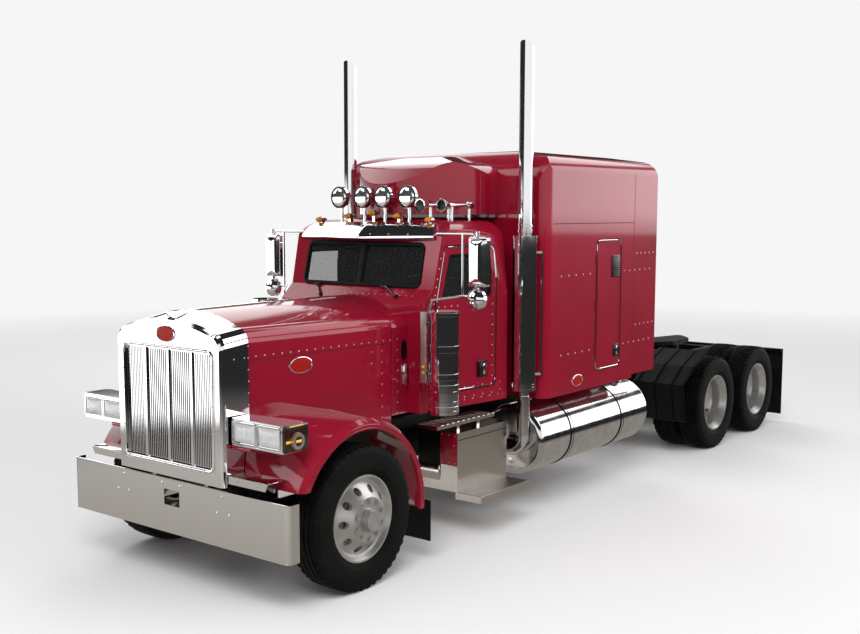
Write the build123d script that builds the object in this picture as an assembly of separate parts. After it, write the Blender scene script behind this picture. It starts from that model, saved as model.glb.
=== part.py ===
from build123d import *
import os
from math import cos, radians, sin

# A long-nose highway tractor with a sleeper, two drive axles and tall exhaust stacks.
# Millimetres. +Z is up, the truck faces -Y, and +X is its left (driver's) side.
# The origin lies on the ground, midway between the nose and the rear mud flaps.

# ---------------------------------------------------------------- lengths along the truck
FRONT_OVERHANG = 871       # nose to the steering axle
WHEELBASE = 6411           # steering axle to the first drive axle
AXLE_SPREAD = 1303         # between the drive axles
REAR_OVERHANG = 875        # second drive axle to the back of the rear mud flaps
LENGTH = FRONT_OVERHANG + WHEELBASE + AXLE_SPREAD + REAR_OVERHANG
NOSE_Y = -LENGTH / 2
STEER_Y = NOSE_Y + FRONT_OVERHANG
DRIVE_Y = (STEER_Y + WHEELBASE, STEER_Y + WHEELBASE + AXLE_SPREAD)
REAR_Y = NOSE_Y + LENGTH

# ---------------------------------------------------------------- wheels and tyres
TYRE_R = 551
TYRE_W = 279
BEAD_R = 311               # where the tyre sits on its rim
FLANGE_R = 330
RIM_W = 228                # over both flanges
RIM_WALL = 12
WELL_R = 286               # outer face of the rim's drop centre
HUB_FACE_OFFSET = 168      # rim centre to the wheel's bolting face
DISC_T = 22
DISC_FLAT_R = 172          # flat part of the disc
HAND_HOLES = 10
HAND_HOLE_R = 29
HAND_HOLE_CIRCLE = 228
NUTS = 10
NUT_CIRCLE = 142.9         # half of the usual 285.75 mm bolt circle
NUT_FLATS = 33
NUT_H = 24
CAP_R = 86
CAP_H = 52
STEER_TYRE_X = 1049        # steering tyre's centre plane
DUAL_SPACING = 343         # between the twin tyres
DUAL_X = 911               # bolting plane between the twins
DRUM_R = 213
DRUM_WALL = 18
HUB_R = 92

# ---------------------------------------------------------------- frame
RAIL_X = 430               # outer face of a rail
RAIL_FLANGE = 80
RAIL_H = 270
RAIL_T = 9
RAIL_TOP = 1010
RAIL_FRONT_Y = STEER_Y - 400
RAIL_BACK_Y = REAR_Y - 130
RAIL_BOTTOM = RAIL_TOP - RAIL_H
AXLE_Z = TYRE_R
BEAM_TOP = AXLE_Z - 10     # the steering axle's forged beam under the springs
BEAM_H = 100
BEAM_FLAT_X = RAIL_X + 110
AXLE_TUBE_R = 72
CROSSMEMBER_H = 150
CROSSMEMBER_T = 90
# distance of each crossmember behind the steering axle
CROSSMEMBERS = (2330, 3480, 4620, 5700, 7062, 8150)
KINGPIN_X = 860
KINGPIN_R = 22
PIN_CLEARANCE = 3
BOSS_R = 45
BOSS_H = 130
GAP = 6                    # the usual gap round a moving panel

# ---------------------------------------------------------------- bumper
BUMPER_Y = NOSE_Y + 20
BUMPER_W = 2457
BUMPER_BOTTOM = 419
BUMPER_TOP = 833
BUMPER_DEPTH = 105
BUMPER_T = 8
BUMPER_CORNER = 45
TOW_HOLE = (-88, 88, 631, 752)
HORN_X = (360, 415)        # brackets that carry the bumper, inside the rails
HORN_TOP = RAIL_BOTTOM
HORN_H = 140

# ---------------------------------------------------------------- nose and hood
CROWN_DEPTH = 260
CROWN_BOTTOM = 862
CROWN_HALF = 600
CROWN_T = 16
GRILLE_HALF_TOP = 491
GRILLE_HALF_BOTTOM = 483
GRILLE_BOTTOM = 979
GRILLE_TOP = 1819
GRILLE_DEPTH = 45          # how deep the frame round the grille is
GRILLE_POSTS = (-262, 0, 262)
GRILLE_POST_W = 26
GRILLE_BARS_PER_PANEL = 11
GRILLE_BAR_W = 8
GRILLE_BAR_DEPTH = 14
GRILLE_BARS_AT = 18        # the bars' front edges behind the nose
GRILLE_FRAME = 10
GRILLE_SCREEN_T = 4
HOOD_FRONT_Y = NOSE_Y + CROWN_DEPTH
HOOD_REAR_Y = BUMPER_Y + 1758
HOOD_T = 20
HOOD_SIDE_BOTTOM = 1050
# the hood's section at each end: half width, shoulder height and crown height
HOOD_SECTIONS = (
    # y            half  side_top  crown
    (HOOD_FRONT_Y, 583, 1880, 2088),
    (HOOD_REAR_Y, 680, 1870, 2104),
)
# the chrome surround's sections, from its rounded front edge to the hood
CROWN_SECTIONS = (
    # y             half            side_top  crown
    (NOSE_Y, CROWN_HALF - 26, 1838, 2018),
    (NOSE_Y + 12, CROWN_HALF - 9, 1850, 2035),
    (NOSE_Y + 38, CROWN_HALF, 1860, 2046),
    (HOOD_FRONT_Y, CROWN_HALF, 1884, 2092),
)
HOOD_SHOULDER_R = 105
HINGE_Y = BUMPER_Y + 50
HINGE_Z = 770
HINGE_LUG = 36             # half size of the lugs on the brackets that hold the pin
HINGE_ARM_X = 300
HINGE_PIN_R = 14
HINGE_EYE_R = 32

FENDER_OUT = 1172
FENDER_T = 25
FENDER_R = 745             # outer edge over the wheel
ARCH_R = 668               # opening over the wheel
FENDER_LIP_T = 30
LAMP_FRONT_Y = BUMPER_Y + 47
LAMP_DEPTH = 240
LAMP_X = (622, 1137)
LAMP_Z = (1172, 1368)
LAMP_GLASS_DEPTH = 12
SIGNAL_R = 58              # round turn signal on the pod's outer end
SIGNAL_OUT = LAMP_X[1] + 34
SIGNAL_BACK = 120
SIGNAL_DROP = -18

# ---------------------------------------------------------------- cab
CAB_BOTTOM = 1136
CAB_WALL = 40
CAB_FLOOR_T = 45
CAB_FRONT_Y = BUMPER_Y + 1980
CAB_BACK_Y = BUMPER_Y + 3090
CAB_FRONT_HALF = 806
CAB_BACK_HALF = 945
CAB_ROOF_Z = 2775
CAB_ROOF_SPLIT_Z = 2605
SCREEN_BOTTOM = (BUMPER_Y + 2139, 2168)
SCREEN_TOP = (BUMPER_Y + 2232, 2568)
SCREEN_RAKE = (SCREEN_TOP[0] - SCREEN_BOTTOM[0]) / (SCREEN_TOP[1] - SCREEN_BOTTOM[1])
SCREEN_HALF = 691
SCREEN_POST = 26           # half width of the post between the two panes
GLASS_T = 8
ROOF_LAMP_X = (-396, -120, 120, 396)
ROOF_LAMP_Y = BUMPER_Y + 2360
ROOF_LAMP_Z = 2955
LAMP_R = 100
MARKER_X = (-640, -290, 0, 290, 640)
MARKER_Z = 2812
# the two horns: x, y of the bell's mouth
HORNS = ((560, BUMPER_Y + 2300), (700, BUMPER_Y + 2420))
HORN_BELL_R = 56
TRUMPET_Z = 2880
TRUMPET_L = 450
DOOR_FRONT_Y = BUMPER_Y + 2170
DOOR_BACK_Y = BUMPER_Y + 2945
DOOR_BOTTOM = 1270
DOOR_TOP = 2540
DOOR_CORNER = 60
BELT_Z = 2085              # bottom of the door's window
DOOR_FRAME = 75
HANDLE_AT = (BUMPER_Y + 2760, 1443)
HANDLE_SIZE = (140, 140, 12)   # length, height and how far it stands out
COWL_FRONT_Y = HOOD_REAR_Y + GAP + 2
HINGE_BARREL_R = 8
HINGE_BARREL_H = 70
DOOR_HINGE = (834, DOOR_FRONT_Y + 3)
DOOR_HINGE_Z = (1400, 1720, 2030)

# ---------------------------------------------------------------- sleeper
SLEEPER_HALF = 1200
SLEEPER_FRONT_Y = BUMPER_Y + 3340
SLEEPER_BACK_Y = BUMPER_Y + 5040
EXTENDER_BACK_Y = BUMPER_Y + 5550
SLEEPER_BOTTOM = 1116
SLEEPER_ROOF_Z = 3420
SLEEPER_SPLIT_Z = 2715
SLEEPER_WALL = 35
BUNK_DOOR_Y = (BUMPER_Y + 4250, BUMPER_Y + 4770)
BUNK_DOOR_Z = (1270, 2560)
BUNK_DOOR_CORNER = 60
# vent frame and handle on the bunk door: two y and two z values each
BUNK_FITTINGS = ((BUMPER_Y + 4560, BUMPER_Y + 4725, 2175, 2400), (BUMPER_Y + 4630, BUMPER_Y + 4730, 1385, 1500))
BUNK_HINGE = (SLEEPER_HALF + 3, BUNK_DOOR_Y[0] + 3)
BUNK_HINGE_Z = (1480, 1915, 2350)
PASSAGE_HALF = 420
PASSAGE_Z = (1200, 2400)
DOME_HALF = 680
DOME_NOSE_Y = BUMPER_Y + 2450
DOME_BOTTOM = 2800

# ---------------------------------------------------------------- hung on the frame
TANK_R = 330
TANK_X = 870
TANK_Z = 712
TANK_Y = (BUMPER_Y + 3290, BUMPER_Y + 5450)
TANK_STRAPS = (BUMPER_Y + 3850, BUMPER_Y + 4860)
TANK_EDGE_R = 45
TANK_FILLER_Y = BUMPER_Y + 5180
STRAP_W = 28
STRAP_T = 6
BOX_X = (520, 950)
BOX_Y = (BUMPER_Y + 2330, BUMPER_Y + 3090)
BOX_Z = (410, 930)
STEP_OUT = 1200
STEP_T = 58
STACK_X = 1048
STACK_Y = BUMPER_Y + 3214
STACK_R = 63.5
STACK_TOP = 4327
STACK_WALL = 4
STACK_MITRE = 90           # how much lower the stack's rear lip is than its front lip
MUFFLER_R = 112
MUFFLER_RING_H = 22
GRAB_R = 11
GRAB_ANGLE = radians(35)   # where the muffler's grab rail stands, round from straight outwards
MUFFLER_Z = (1205, 2610)
EXHAUST_R = 56
AIR_X = 1040
AIR_Y = BUMPER_Y + 2000
AIR_R = 127.5
AIR_Z = (1165, 2015)
MIRROR_Y = BUMPER_Y + 2255
MIRROR_TUBE_X = (1048, 1198)
MIRROR_TUBE_R = 11
MIRROR_Z = (2130, 2640)    # the frame's lower and upper runs
MIRROR_HEAD_X = (1102, 1290)
SPOT_R = 88
PLATE_TOP = 1200
PLATE_HALF = 455
PLATE_Y = (DRIVE_Y[0] + 160, DRIVE_Y[0] + 1090)
PLATE_T = 50
ROCK_Y = DRIVE_Y[0] + 540
ROCK_Z = 1105
KING_SLOT_R = 25.4
FLAP_X = (610, 1215)
FLAP_T = 10


# ---------------------------------------------------------------- small builders
def block(x, y, z):
    """A box between two x, two y and two z values."""
    size = (x[1] - x[0], y[1] - y[0], z[1] - z[0])
    return Pos((x[0] + x[1]) / 2, (y[0] + y[1]) / 2, (z[0] + z[1]) / 2) * Box(*size)


def outline(corners):
    """A flat face from (u, v, radius) corners joined by straight edges."""
    face = make_face(Polyline(*[(u, v) for u, v, r in corners], close=True))
    for u, v, r in corners:
        if r:
            corner = face.vertices().sort_by_distance(Vector(u, v, 0))[0]
            face = fillet(corner, r)
    return face


def along_x(corners, x0, x1):
    """Extrude a (y, z, radius) outline from x0 to x1."""
    return extrude(Plane.YZ.offset(x0) * outline(corners), x1 - x0)


def along_y(corners, y0, y1):
    """Extrude an (x, z, radius) outline from y0 to y1."""
    return extrude(Plane.XZ.offset(-y1) * outline(corners), y1 - y0)


def along_z(corners, z0, z1):
    """Extrude an (x, y, radius) outline from z0 to z1."""
    return extrude(Plane.XY.offset(z0) * outline(corners), z1 - z0)


def rod(axis, radius, start, end, at):
    """A round bar from start to end along an axis; at gives the two other coordinates."""
    middle, length = (start + end) / 2, end - start
    if axis == "x":
        return Pos(middle, *at) * Rot(0, 90, 0) * Cylinder(radius, length)
    if axis == "y":
        return Pos(at[0], middle, at[1]) * Rot(90, 0, 0) * Cylinder(radius, length)
    return Pos(*at, middle) * Cylinder(radius, length)


def flipped(shape):
    """The same piece on the other side of the truck."""
    return mirror(shape, about=Plane.YZ)


def both(shape):
    """The piece and its twin on the other side, as separate solids."""
    return Compound(children=[shape, flipped(shape)])


# ---------------------------------------------------------------- frame and running gear
def frame_rails():
    """Two straight steel channels, open towards each other."""
    web = block((RAIL_X - RAIL_T, RAIL_X), (RAIL_FRONT_Y, RAIL_BACK_Y), (RAIL_BOTTOM, RAIL_TOP))
    rail = web
    for z in (RAIL_BOTTOM, RAIL_TOP - RAIL_T):
        flange = block((RAIL_X - RAIL_FLANGE, RAIL_X - RAIL_T), (RAIL_FRONT_Y, RAIL_BACK_Y), (z, z + RAIL_T))
        rail += flange
    return both(rail)


def crossmembers():
    """Box members between the rails' webs, above the drive shaft, and the deck plate they carry."""
    reach = RAIL_X - RAIL_T
    top = RAIL_TOP - RAIL_T
    members = []
    for behind_axle in CROSSMEMBERS:
        y = STEER_Y + behind_axle
        span = (y - CROSSMEMBER_T / 2, y + CROSSMEMBER_T / 2)
        members.append(block((-reach, reach), span, (top - CROSSMEMBER_H, top)))
    return Compound(children=members)


def bumper():
    """A deep plate bumper with turned-back ends, a tow hole and the two brackets behind it."""
    half = BUMPER_W / 2
    back = BUMPER_Y + BUMPER_DEPTH
    inner = half - BUMPER_T
    outer = along_z([(-half, back, 0), (-half, BUMPER_Y, BUMPER_CORNER), (half, BUMPER_Y, BUMPER_CORNER),
                     (half, back, 0)], BUMPER_BOTTOM, BUMPER_TOP)
    front = BUMPER_Y + BUMPER_T
    radius = BUMPER_CORNER - BUMPER_T
    hollow = along_z([(-inner, back + 1, 0), (-inner, front, radius), (inner, front, radius),
                      (inner, back + 1, 0)], BUMPER_BOTTOM - 1, BUMPER_TOP + 1)
    x0, x1, z0, z1 = TOW_HOLE
    hole = block((x0, x1), (BUMPER_Y - 1, front + 1), (z0, z1))
    plate = outer - hollow - hole
    horn = block(HORN_X, (front, RAIL_FRONT_Y + 250), (HORN_TOP - HORN_H, HORN_TOP))
    horn += block(HORN_X, (front, HINGE_Y + HINGE_LUG), (HORN_TOP, HINGE_Z + HINGE_LUG - 8))
    pin = rod("x", HINGE_PIN_R, -HORN_X[0], HORN_X[0], (HINGE_Y, HINGE_Z))
    return plate + horn + flipped(horn) + pin


def front_axle():
    """A forged I-beam with dropped middle and a kingpin eye at each end."""
    half = [(0, BEAM_TOP - BEAM_H), (BEAM_FLAT_X, BEAM_TOP - BEAM_H), (BEAM_FLAT_X + 60, AXLE_Z - 70),
            (KINGPIN_X - 30, AXLE_Z - 40), (KINGPIN_X - 30, AXLE_Z + 50), (BEAM_FLAT_X + 60, AXLE_Z + 5),
            (BEAM_FLAT_X, BEAM_TOP), (0, BEAM_TOP)]
    beam = along_y([(x, z, 0) for x, z in half], STEER_Y - 50, STEER_Y + 50)
    beam += flipped(beam)
    eye = rod("z", BOSS_R, AXLE_Z - BOSS_H / 2, AXLE_Z + BOSS_H / 2, (KINGPIN_X, STEER_Y))
    bore = rod("z", KINGPIN_R + PIN_CLEARANCE, AXLE_Z - BOSS_H, AXLE_Z + BOSS_H, (KINGPIN_X, STEER_Y))
    return beam + eye + flipped(eye) - bore - flipped(bore)


def knuckle():
    """A left steering knuckle: yoke and kingpin round the axle's eye, and the spindle."""
    plate_x = (KINGPIN_X + BOSS_R + 8, KINGPIN_X + BOSS_R + 32)
    arm_gap = BOSS_H / 2 + 5
    arm_t = 34
    shape = block(plate_x, (STEER_Y - 75, STEER_Y + 75), (AXLE_Z - 145, AXLE_Z + 145))
    for z in (AXLE_Z - arm_gap - arm_t, AXLE_Z + arm_gap):
        shape += block((KINGPIN_X, plate_x[0]), (STEER_Y - BOSS_R, STEER_Y + BOSS_R), (z, z + arm_t))
        shape += rod("z", BOSS_R, z, z + arm_t, (KINGPIN_X, STEER_Y))
    shape += rod("z", KINGPIN_R, AXLE_Z - arm_gap - 1, AXLE_Z + arm_gap + 1, (KINGPIN_X, STEER_Y))
    shape += rod("x", 37, plate_x[1], STEER_TYRE_X + 50, (STEER_Y, AXLE_Z))
    return shape


def drive_axles():
    """Two driven axles: a tube each with the differential's bulge and brake plates."""
    axles = []
    for y in DRIVE_Y:
        tube = rod("x", AXLE_TUBE_R, -590, 590, (y, AXLE_Z))
        tube += rod("x", 52, -DUAL_X - 110, DUAL_X + 110, (y, AXLE_Z))
        tube += Pos(0, y, AXLE_Z) * Rot(90, 0, 0) * Cylinder(185, 150)
        tube += rod("y", 90, y - 330, y, (0, AXLE_Z))
        for side in (-1, 1):
            tube += rod("x", 185, side * 578 - 8, side * 578 + 8, (y, AXLE_Z))
        axles.append(tube)
    return Compound(children=axles)


def suspension():
    """Leaf packs for the steering axle; trailing arms and air springs for the drive axles."""
    pieces = []
    leaf_z = AXLE_Z + 8
    spring = block((RAIL_X + 12, RAIL_X + 92), (STEER_Y - 650, STEER_Y + 650), (leaf_z, leaf_z + 62))
    spring += block((RAIL_X + 20, RAIL_X + 84), (STEER_Y - 50, STEER_Y + 50), (BEAM_TOP, leaf_z))
    for end in (-640, 580):
        hanger = block((RAIL_X, RAIL_X + 80), (STEER_Y + end, STEER_Y + end + 60), (leaf_z + 20, leaf_z + 300))
        spring += hanger
    pieces += [spring, flipped(spring)]
    for y in DRIVE_Y:
        arm_z = AXLE_Z + AXLE_TUBE_R
        arm = block((RAIL_X + 25, RAIL_X + 105), (y - 520, y + 360), (arm_z, arm_z + 60))
        arm += block((RAIL_X, RAIL_X + 90), (y - 520, y - 430), (arm_z + 30, arm_z + 320))
        arm += rod("z", 74, arm_z + 60, arm_z + 300, (RAIL_X + 80, y + 270))
        arm += block((RAIL_X, RAIL_X + 80), (y + 200, y + 340), (arm_z + 290, arm_z + 320))
        pieces += [arm, flipped(arm)]
    return Compound(children=pieces)


def engine():
    """One plain block for the engine and gearbox, and the drive shaft to the axles."""
    block_y = (STEER_Y - 200, STEER_Y + 1080)
    shape = block((-325, 325), block_y, (640, 1700))
    shape += block((-200, 200), (block_y[1], block_y[1] + 900), (560, 900))
    shape += rod("y", 55, block_y[1] + 900, DRIVE_Y[0] - 340, (0, 660))
    return shape


def radiator():
    """The radiator's core and tanks, standing in front of the engine."""
    front = HOOD_FRONT_Y + 25
    core = block((-430, 430), (front, front + 120), (860, 1800))
    foot = block((-HORN_X[1], HORN_X[1]), (front, front + 120), (HORN_TOP, 860))
    return core + foot


# ---------------------------------------------------------------- wheels
def tyre(x):
    """A closed ring with round shoulders, standing on the rim's bead seats."""
    half = TYRE_W / 2
    bead = RIM_W / 2 - RIM_WALL
    points = [(-bead, BEAD_R, 0), (-bead, FLANGE_R + 6, 0), (-half, 432, 70), (-half + 14, 520, 30),
              (-half + 28, TYRE_R - 6, 12), (0, TYRE_R, 0), (half - 28, TYRE_R - 6, 12),
              (half - 14, 520, 30), (half, 432, 70), (bead, FLANGE_R + 6, 0), (bead, BEAD_R, 0)]
    return Pos(x, 0, 0) * revolve(Plane.XZ * outline(points), Axis.X, 360)


def rim(x, outward):
    """A wheel with its barrel, flanges and dished disc; outward is +1 or -1 for the disc's side."""
    half = RIM_W / 2
    face = HUB_FACE_OFFSET
    inner = WELL_R - RIM_WALL
    points = [(-half, FLANGE_R), (-half + RIM_WALL, FLANGE_R), (-half + RIM_WALL, BEAD_R), (-70, BEAD_R - 2),
              (-45, WELL_R), (45, WELL_R), (70, BEAD_R - 2), (half - RIM_WALL, BEAD_R),
              (half - RIM_WALL, FLANGE_R), (half, FLANGE_R), (half, FLANGE_R - 14), (82, BEAD_R - 18),
              (78, inner), (face, DISC_FLAT_R), (face, HUB_R - 2), (face - DISC_T, HUB_R - 2),
              (face - DISC_T, DISC_FLAT_R - 6), (48, inner), (-45, inner), (-80, BEAD_R - 16), (-half, FLANGE_R - 14)]
    shape = revolve(Plane.XZ * outline([(u, v, 0) for u, v in points]), Axis.X, 360)
    for k in range(HAND_HOLES):
        angle = radians(360 / HAND_HOLES * k)
        at = (HAND_HOLE_CIRCLE * cos(angle), HAND_HOLE_CIRCLE * sin(angle))
        shape -= rod("x", HAND_HOLE_R, 20, face + 20, at)
    if outward < 0:
        shape = flipped(shape)
    return Pos(x, 0, 0) * shape


def nuts(x):
    """A circle of hexagonal wheel nuts standing out from the bolting face at x."""
    ring = []
    for k in range(NUTS):
        angle = radians(360 / NUTS * (k + 0.5))
        at = Pos(x, NUT_CIRCLE * cos(angle), NUT_CIRCLE * sin(angle)) * Rot(0, 90, 0)
        ring.append(at * extrude(RegularPolygon(NUT_FLATS / 2, 6, major_radius=False), NUT_H))
        ring.append(at * Cylinder(NUT_FLATS * 0.3, NUT_H + 26))
    return ring


def drum(x0, x1):
    """A brake drum, open at x0 and closed at x1 down to the hub."""
    ring = rod("x", DRUM_R, x0, x1, (0, 0)) - rod("x", DRUM_R - DRUM_WALL, x0 - 1, x1 - DRUM_WALL, (0, 0))
    return ring


def steer_wheel():
    """The left front wheel: rim, hub, brake drum and hub cap in one."""
    face = STEER_TYRE_X + HUB_FACE_OFFSET
    start = STEER_TYRE_X - 62
    shape = drum(start - 20, STEER_TYRE_X + 95) + rod("x", HUB_R, start, face, (0, 0))
    shape -= rod("x", 43, start - 50, STEER_TYRE_X + 60, (0, 0))
    shape += rod("x", CAP_R, face - 1, face + CAP_H - 12, (0, 0)) + rod("x", CAP_R - 10, face, face + CAP_H, (0, 0))
    return shape + rim(STEER_TYRE_X, 1) + nuts(face)


def drive_wheel():
    """A left pair of twin wheels with hub and brake drum, deep-dished outside."""
    inner_x = DUAL_X - DUAL_SPACING / 2
    outer_x = DUAL_X + DUAL_SPACING / 2
    shape = drum(602, DUAL_X - 40) + rod("x", HUB_R, 640, DUAL_X + 170, (0, 0))
    shape += rod("x", 150, DUAL_X - 60, DUAL_X, (0, 0))
    shape -= rod("x", 58, 500, DUAL_X + 125, (0, 0))
    face = outer_x - HUB_FACE_OFFSET + DISC_T
    return shape + rim(inner_x, 1) + rim(outer_x, -1) + nuts(face)


def drive_tyres():
    """The twin tyres of one left drive wheel."""
    return Compound(children=[tyre(DUAL_X - DUAL_SPACING / 2), tyre(DUAL_X + DUAL_SPACING / 2)])


# ---------------------------------------------------------------- hood
def hood_section(y, half, side_top, crown, inset, bottom=HOOD_SIDE_BOTTOM):
    """The cross-section at y: upright sides from bottom, round shoulders and a crowned top."""
    w = half - inset
    top = crown - inset
    shoulder = (w - HOOD_SHOULDER_R * 0.9, side_top + HOOD_SHOULDER_R - inset)
    left = Line((w, bottom), (w, side_top))
    turn = ThreePointArc((w, side_top), (w - HOOD_SHOULDER_R * 0.27, side_top + HOOD_SHOULDER_R * 0.67 - inset * 0.7),
                         shoulder)
    roof = ThreePointArc(shoulder, (0, top), (-shoulder[0], shoulder[1]))
    turn_back = ThreePointArc((-shoulder[0], shoulder[1]),
                              (-w + HOOD_SHOULDER_R * 0.27, side_top + HOOD_SHOULDER_R * 0.67 - inset * 0.7),
                              (-w, side_top))
    right = Line((-w, side_top), (-w, bottom))
    base = Line((-w, bottom), (w, bottom))
    face = make_face(Wire([*left.edges(), *turn.edges(), *roof.edges(), *turn_back.edges(), *right.edges(),
                           *base.edges()]))
    return Plane.XZ.offset(-y) * face


def hood_volume(inset):
    """The whole hood as a filled loft between its two sections, drawn in by inset."""
    sections = [hood_section(*row, inset, HOOD_SIDE_BOTTOM - inset) for row in HOOD_SECTIONS]
    return loft(sections, ruled=True)


def hood():
    """The long hood's top and sides, as one sheet."""
    cavity = hood_volume(HOOD_T)
    return hood_volume(0) - cavity - extrude(cavity.faces().sort_by(Axis.Z)[0], 40)


def crown_volume(inset, rows):
    """The chrome surround's filled form between the given rows of its sections."""
    return loft([hood_section(*row, inset, CROWN_BOTTOM + inset) for row in rows], ruled=True)


def crown():
    """The chrome surround of the grille, open behind, with the two arms of the hood's hinge."""
    front = NOSE_Y + GRILLE_DEPTH
    rear = CROWN_SECTIONS[-1]
    shell = crown_volume(0, CROWN_SECTIONS)
    shell -= crown_volume(CROWN_T, ((front, *CROWN_SECTIONS[-2][1:]), (rear[0] + 1, *rear[1:])))
    shell -= along_y(grille_window(0), NOSE_Y - 1, front + 1)
    # short arms that hook under the bumper's top edge when the hood is tilted
    root = CROWN_BOTTOM + CROWN_T
    arm = along_x([(HINGE_Y - 12, HINGE_Z - 28, 10), (HINGE_Y + 95, HINGE_Z + 8, 10), (HINGE_Y + 95, root, 0),
                   (HINGE_Y + 60, root, 0), (HINGE_Y + 60, HINGE_Z + 58, 0), (HINGE_Y - 4, HINGE_Z + 30, 0)],
                  HINGE_ARM_X - 20, HINGE_ARM_X + 20)
    arm += rod("x", HINGE_EYE_R, HINGE_ARM_X - 20, HINGE_ARM_X + 20, (HINGE_Y, HINGE_Z))
    arm -= rod("x", HINGE_PIN_R + PIN_CLEARANCE, HINGE_ARM_X - 40, HINGE_ARM_X + 40, (HINGE_Y, HINGE_Z))
    return shell + arm + flipped(arm)


def grille_window(inset):
    """The opening that the grille fills, drawn in by inset."""
    return [(-GRILLE_HALF_BOTTOM + inset, GRILLE_BOTTOM + inset, 12), (-GRILLE_HALF_TOP + inset, GRILLE_TOP - inset, 30),
            (GRILLE_HALF_TOP - inset, GRILLE_TOP - inset, 30), (GRILLE_HALF_BOTTOM - inset, GRILLE_BOTTOM + inset, 12)]


def grille():
    """Upright bars in four panels with three broad posts, held by a narrow frame all round."""
    y = NOSE_Y + GRILLE_BARS_AT
    shape = along_y(grille_window(0), y, y + GRILLE_BAR_DEPTH)
    shape -= along_y(grille_window(GRILLE_FRAME), y - 1, y + GRILLE_BAR_DEPTH + 1)
    edges = (-GRILLE_HALF_BOTTOM, *GRILLE_POSTS, GRILLE_HALF_BOTTOM)
    for x in GRILLE_POSTS:
        shape += block((x - GRILLE_POST_W / 2, x + GRILLE_POST_W / 2), (NOSE_Y + 8, y + GRILLE_BAR_DEPTH),
                       (GRILLE_BOTTOM, GRILLE_TOP))
    for left, right in zip(edges[:-1], edges[1:]):
        pitch = (right - left) / (GRILLE_BARS_PER_PANEL + 1)
        for k in range(1, GRILLE_BARS_PER_PANEL + 1):
            x = left + k * pitch
            shape += block((x - GRILLE_BAR_W / 2, x + GRILLE_BAR_W / 2), (y, y + GRILLE_BAR_DEPTH),
                           (GRILLE_BOTTOM, GRILLE_TOP))
    return shape & along_y(grille_window(0), NOSE_Y, NOSE_Y + GRILLE_DEPTH)


def grille_screen():
    """The dark insect screen behind the bars."""
    y = NOSE_Y + GRILLE_BARS_AT + GRILLE_BAR_DEPTH
    return along_y(grille_window(0), y, y + GRILLE_SCREEN_T)


# side view of the fender where it meets the hood, as distances behind the bumper and heights:
# five arcs, each with its end and the point halfway to the next end
FENDER_INNER_EDGE = (
    # y,   z,    halfway to the next point
    (1590, 480, (1600, 800)),
    (1530, 1060, (1250, 1245)),
    (880, 1296, (600, 1318)),
    (350, 1325, (222, 1275)),
    (185, 1120, (178, 1000)),
    (185, 868, None),
)
# the same points on the outer edge, as angles round the wheel from straight behind it
FENDER_OUTER_EDGE = (-5, 32, 88, 120, 138, 155)
FENDER_BASE = 300
FENDER_START = 500
FENDER_EDGE = 40           # width of the rounded outer edge
ARCH_Y = STEER_Y + 12


def fender_face(x, corners, halfways):
    """A closed side view at x: arcs through the corners, closed off below."""
    edges = []
    for start, halfway, end in zip(corners[:-1], halfways, corners[1:]):
        edges += ThreePointArc(start, halfway, end).edges()
    low_front, low_rear = (corners[-1][0], FENDER_BASE), (corners[0][0], FENDER_BASE)
    for start, end in ((corners[-1], low_front), (low_front, low_rear), (low_rear, corners[0])):
        edges += Line(start, end).edges()
    return Plane.YZ.offset(x) * make_face(Wire(edges))


def fender_inner_face(x, inset):
    """The fender's side view at the hood, drawn in towards the wheel's centre by inset."""
    def drawn_in(point):
        y, z = BUMPER_Y + point[0] - ARCH_Y, point[1] - AXLE_Z
        scale = 1 - inset / (y * y + z * z) ** 0.5
        return (ARCH_Y + y * scale, AXLE_Z + z * scale)
    corners = [drawn_in((y, z)) for y, z, halfway in FENDER_INNER_EDGE]
    halfways = [drawn_in(halfway) for y, z, halfway in FENDER_INNER_EDGE[:-1]]
    return fender_face(x, corners, halfways)


def fender_outer_face(x, radius):
    """The fender's side view at its outer edge, concentric with the wheel arch."""
    def at(angle):
        return (ARCH_Y + radius * cos(radians(angle)), AXLE_Z + radius * sin(radians(angle)))
    corners = [at(angle) for angle in FENDER_OUTER_EDGE]
    halfways = [at((a + b) / 2) for a, b in zip(FENDER_OUTER_EDGE[:-1], FENDER_OUTER_EDGE[1:])]
    return fender_face(x, corners, halfways)


def fender_filled():
    """The left fender's outer form, filled, up to its rounded edge."""
    return loft([fender_inner_face(FENDER_START, 0), fender_outer_face(FENDER_OUT - FENDER_EDGE, FENDER_R)],
                ruled=True)


def fender():
    """The left front fender: a broad sheet from the hood's side over the wheel, with a lipped arch."""
    edge = FENDER_OUT - FENDER_EDGE
    rounded = loft([fender_outer_face(edge, FENDER_R), fender_outer_face(FENDER_OUT, FENDER_R - 30)], ruled=True)
    cavity = loft([fender_inner_face(FENDER_START - 10, FENDER_T),
                   fender_outer_face(FENDER_OUT - FENDER_LIP_T, FENDER_R - FENDER_T - 12)], ruled=True)
    arch = rod("x", ARCH_R, FENDER_START - 50, FENDER_OUT + 10, (ARCH_Y, AXLE_Z))
    keep = along_x([(BUMPER_Y + 100, 868, 0), (STEER_Y, 868, 0), (STEER_Y, 480, 0), (BUMPER_Y + 1750, 480, 0),
                    (BUMPER_Y + 1750, 1500, 0), (BUMPER_Y + 100, 1500, 0)], FENDER_START, FENDER_OUT + 20)
    front, rear = HOOD_SECTIONS
    engine_bay = along_z([(0, front[0] - 400, 0), (front[1], front[0] - 400, 0), (front[1], front[0], 0),
                          (rear[1], rear[0], 0), (0, rear[0], 0)], FENDER_BASE, HOOD_SIDE_BOTTOM)
    sheet = (fender_filled() + rounded - cavity - arch) & keep
    return sheet - hood_volume(0) - engine_bay - crown_space()


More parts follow.
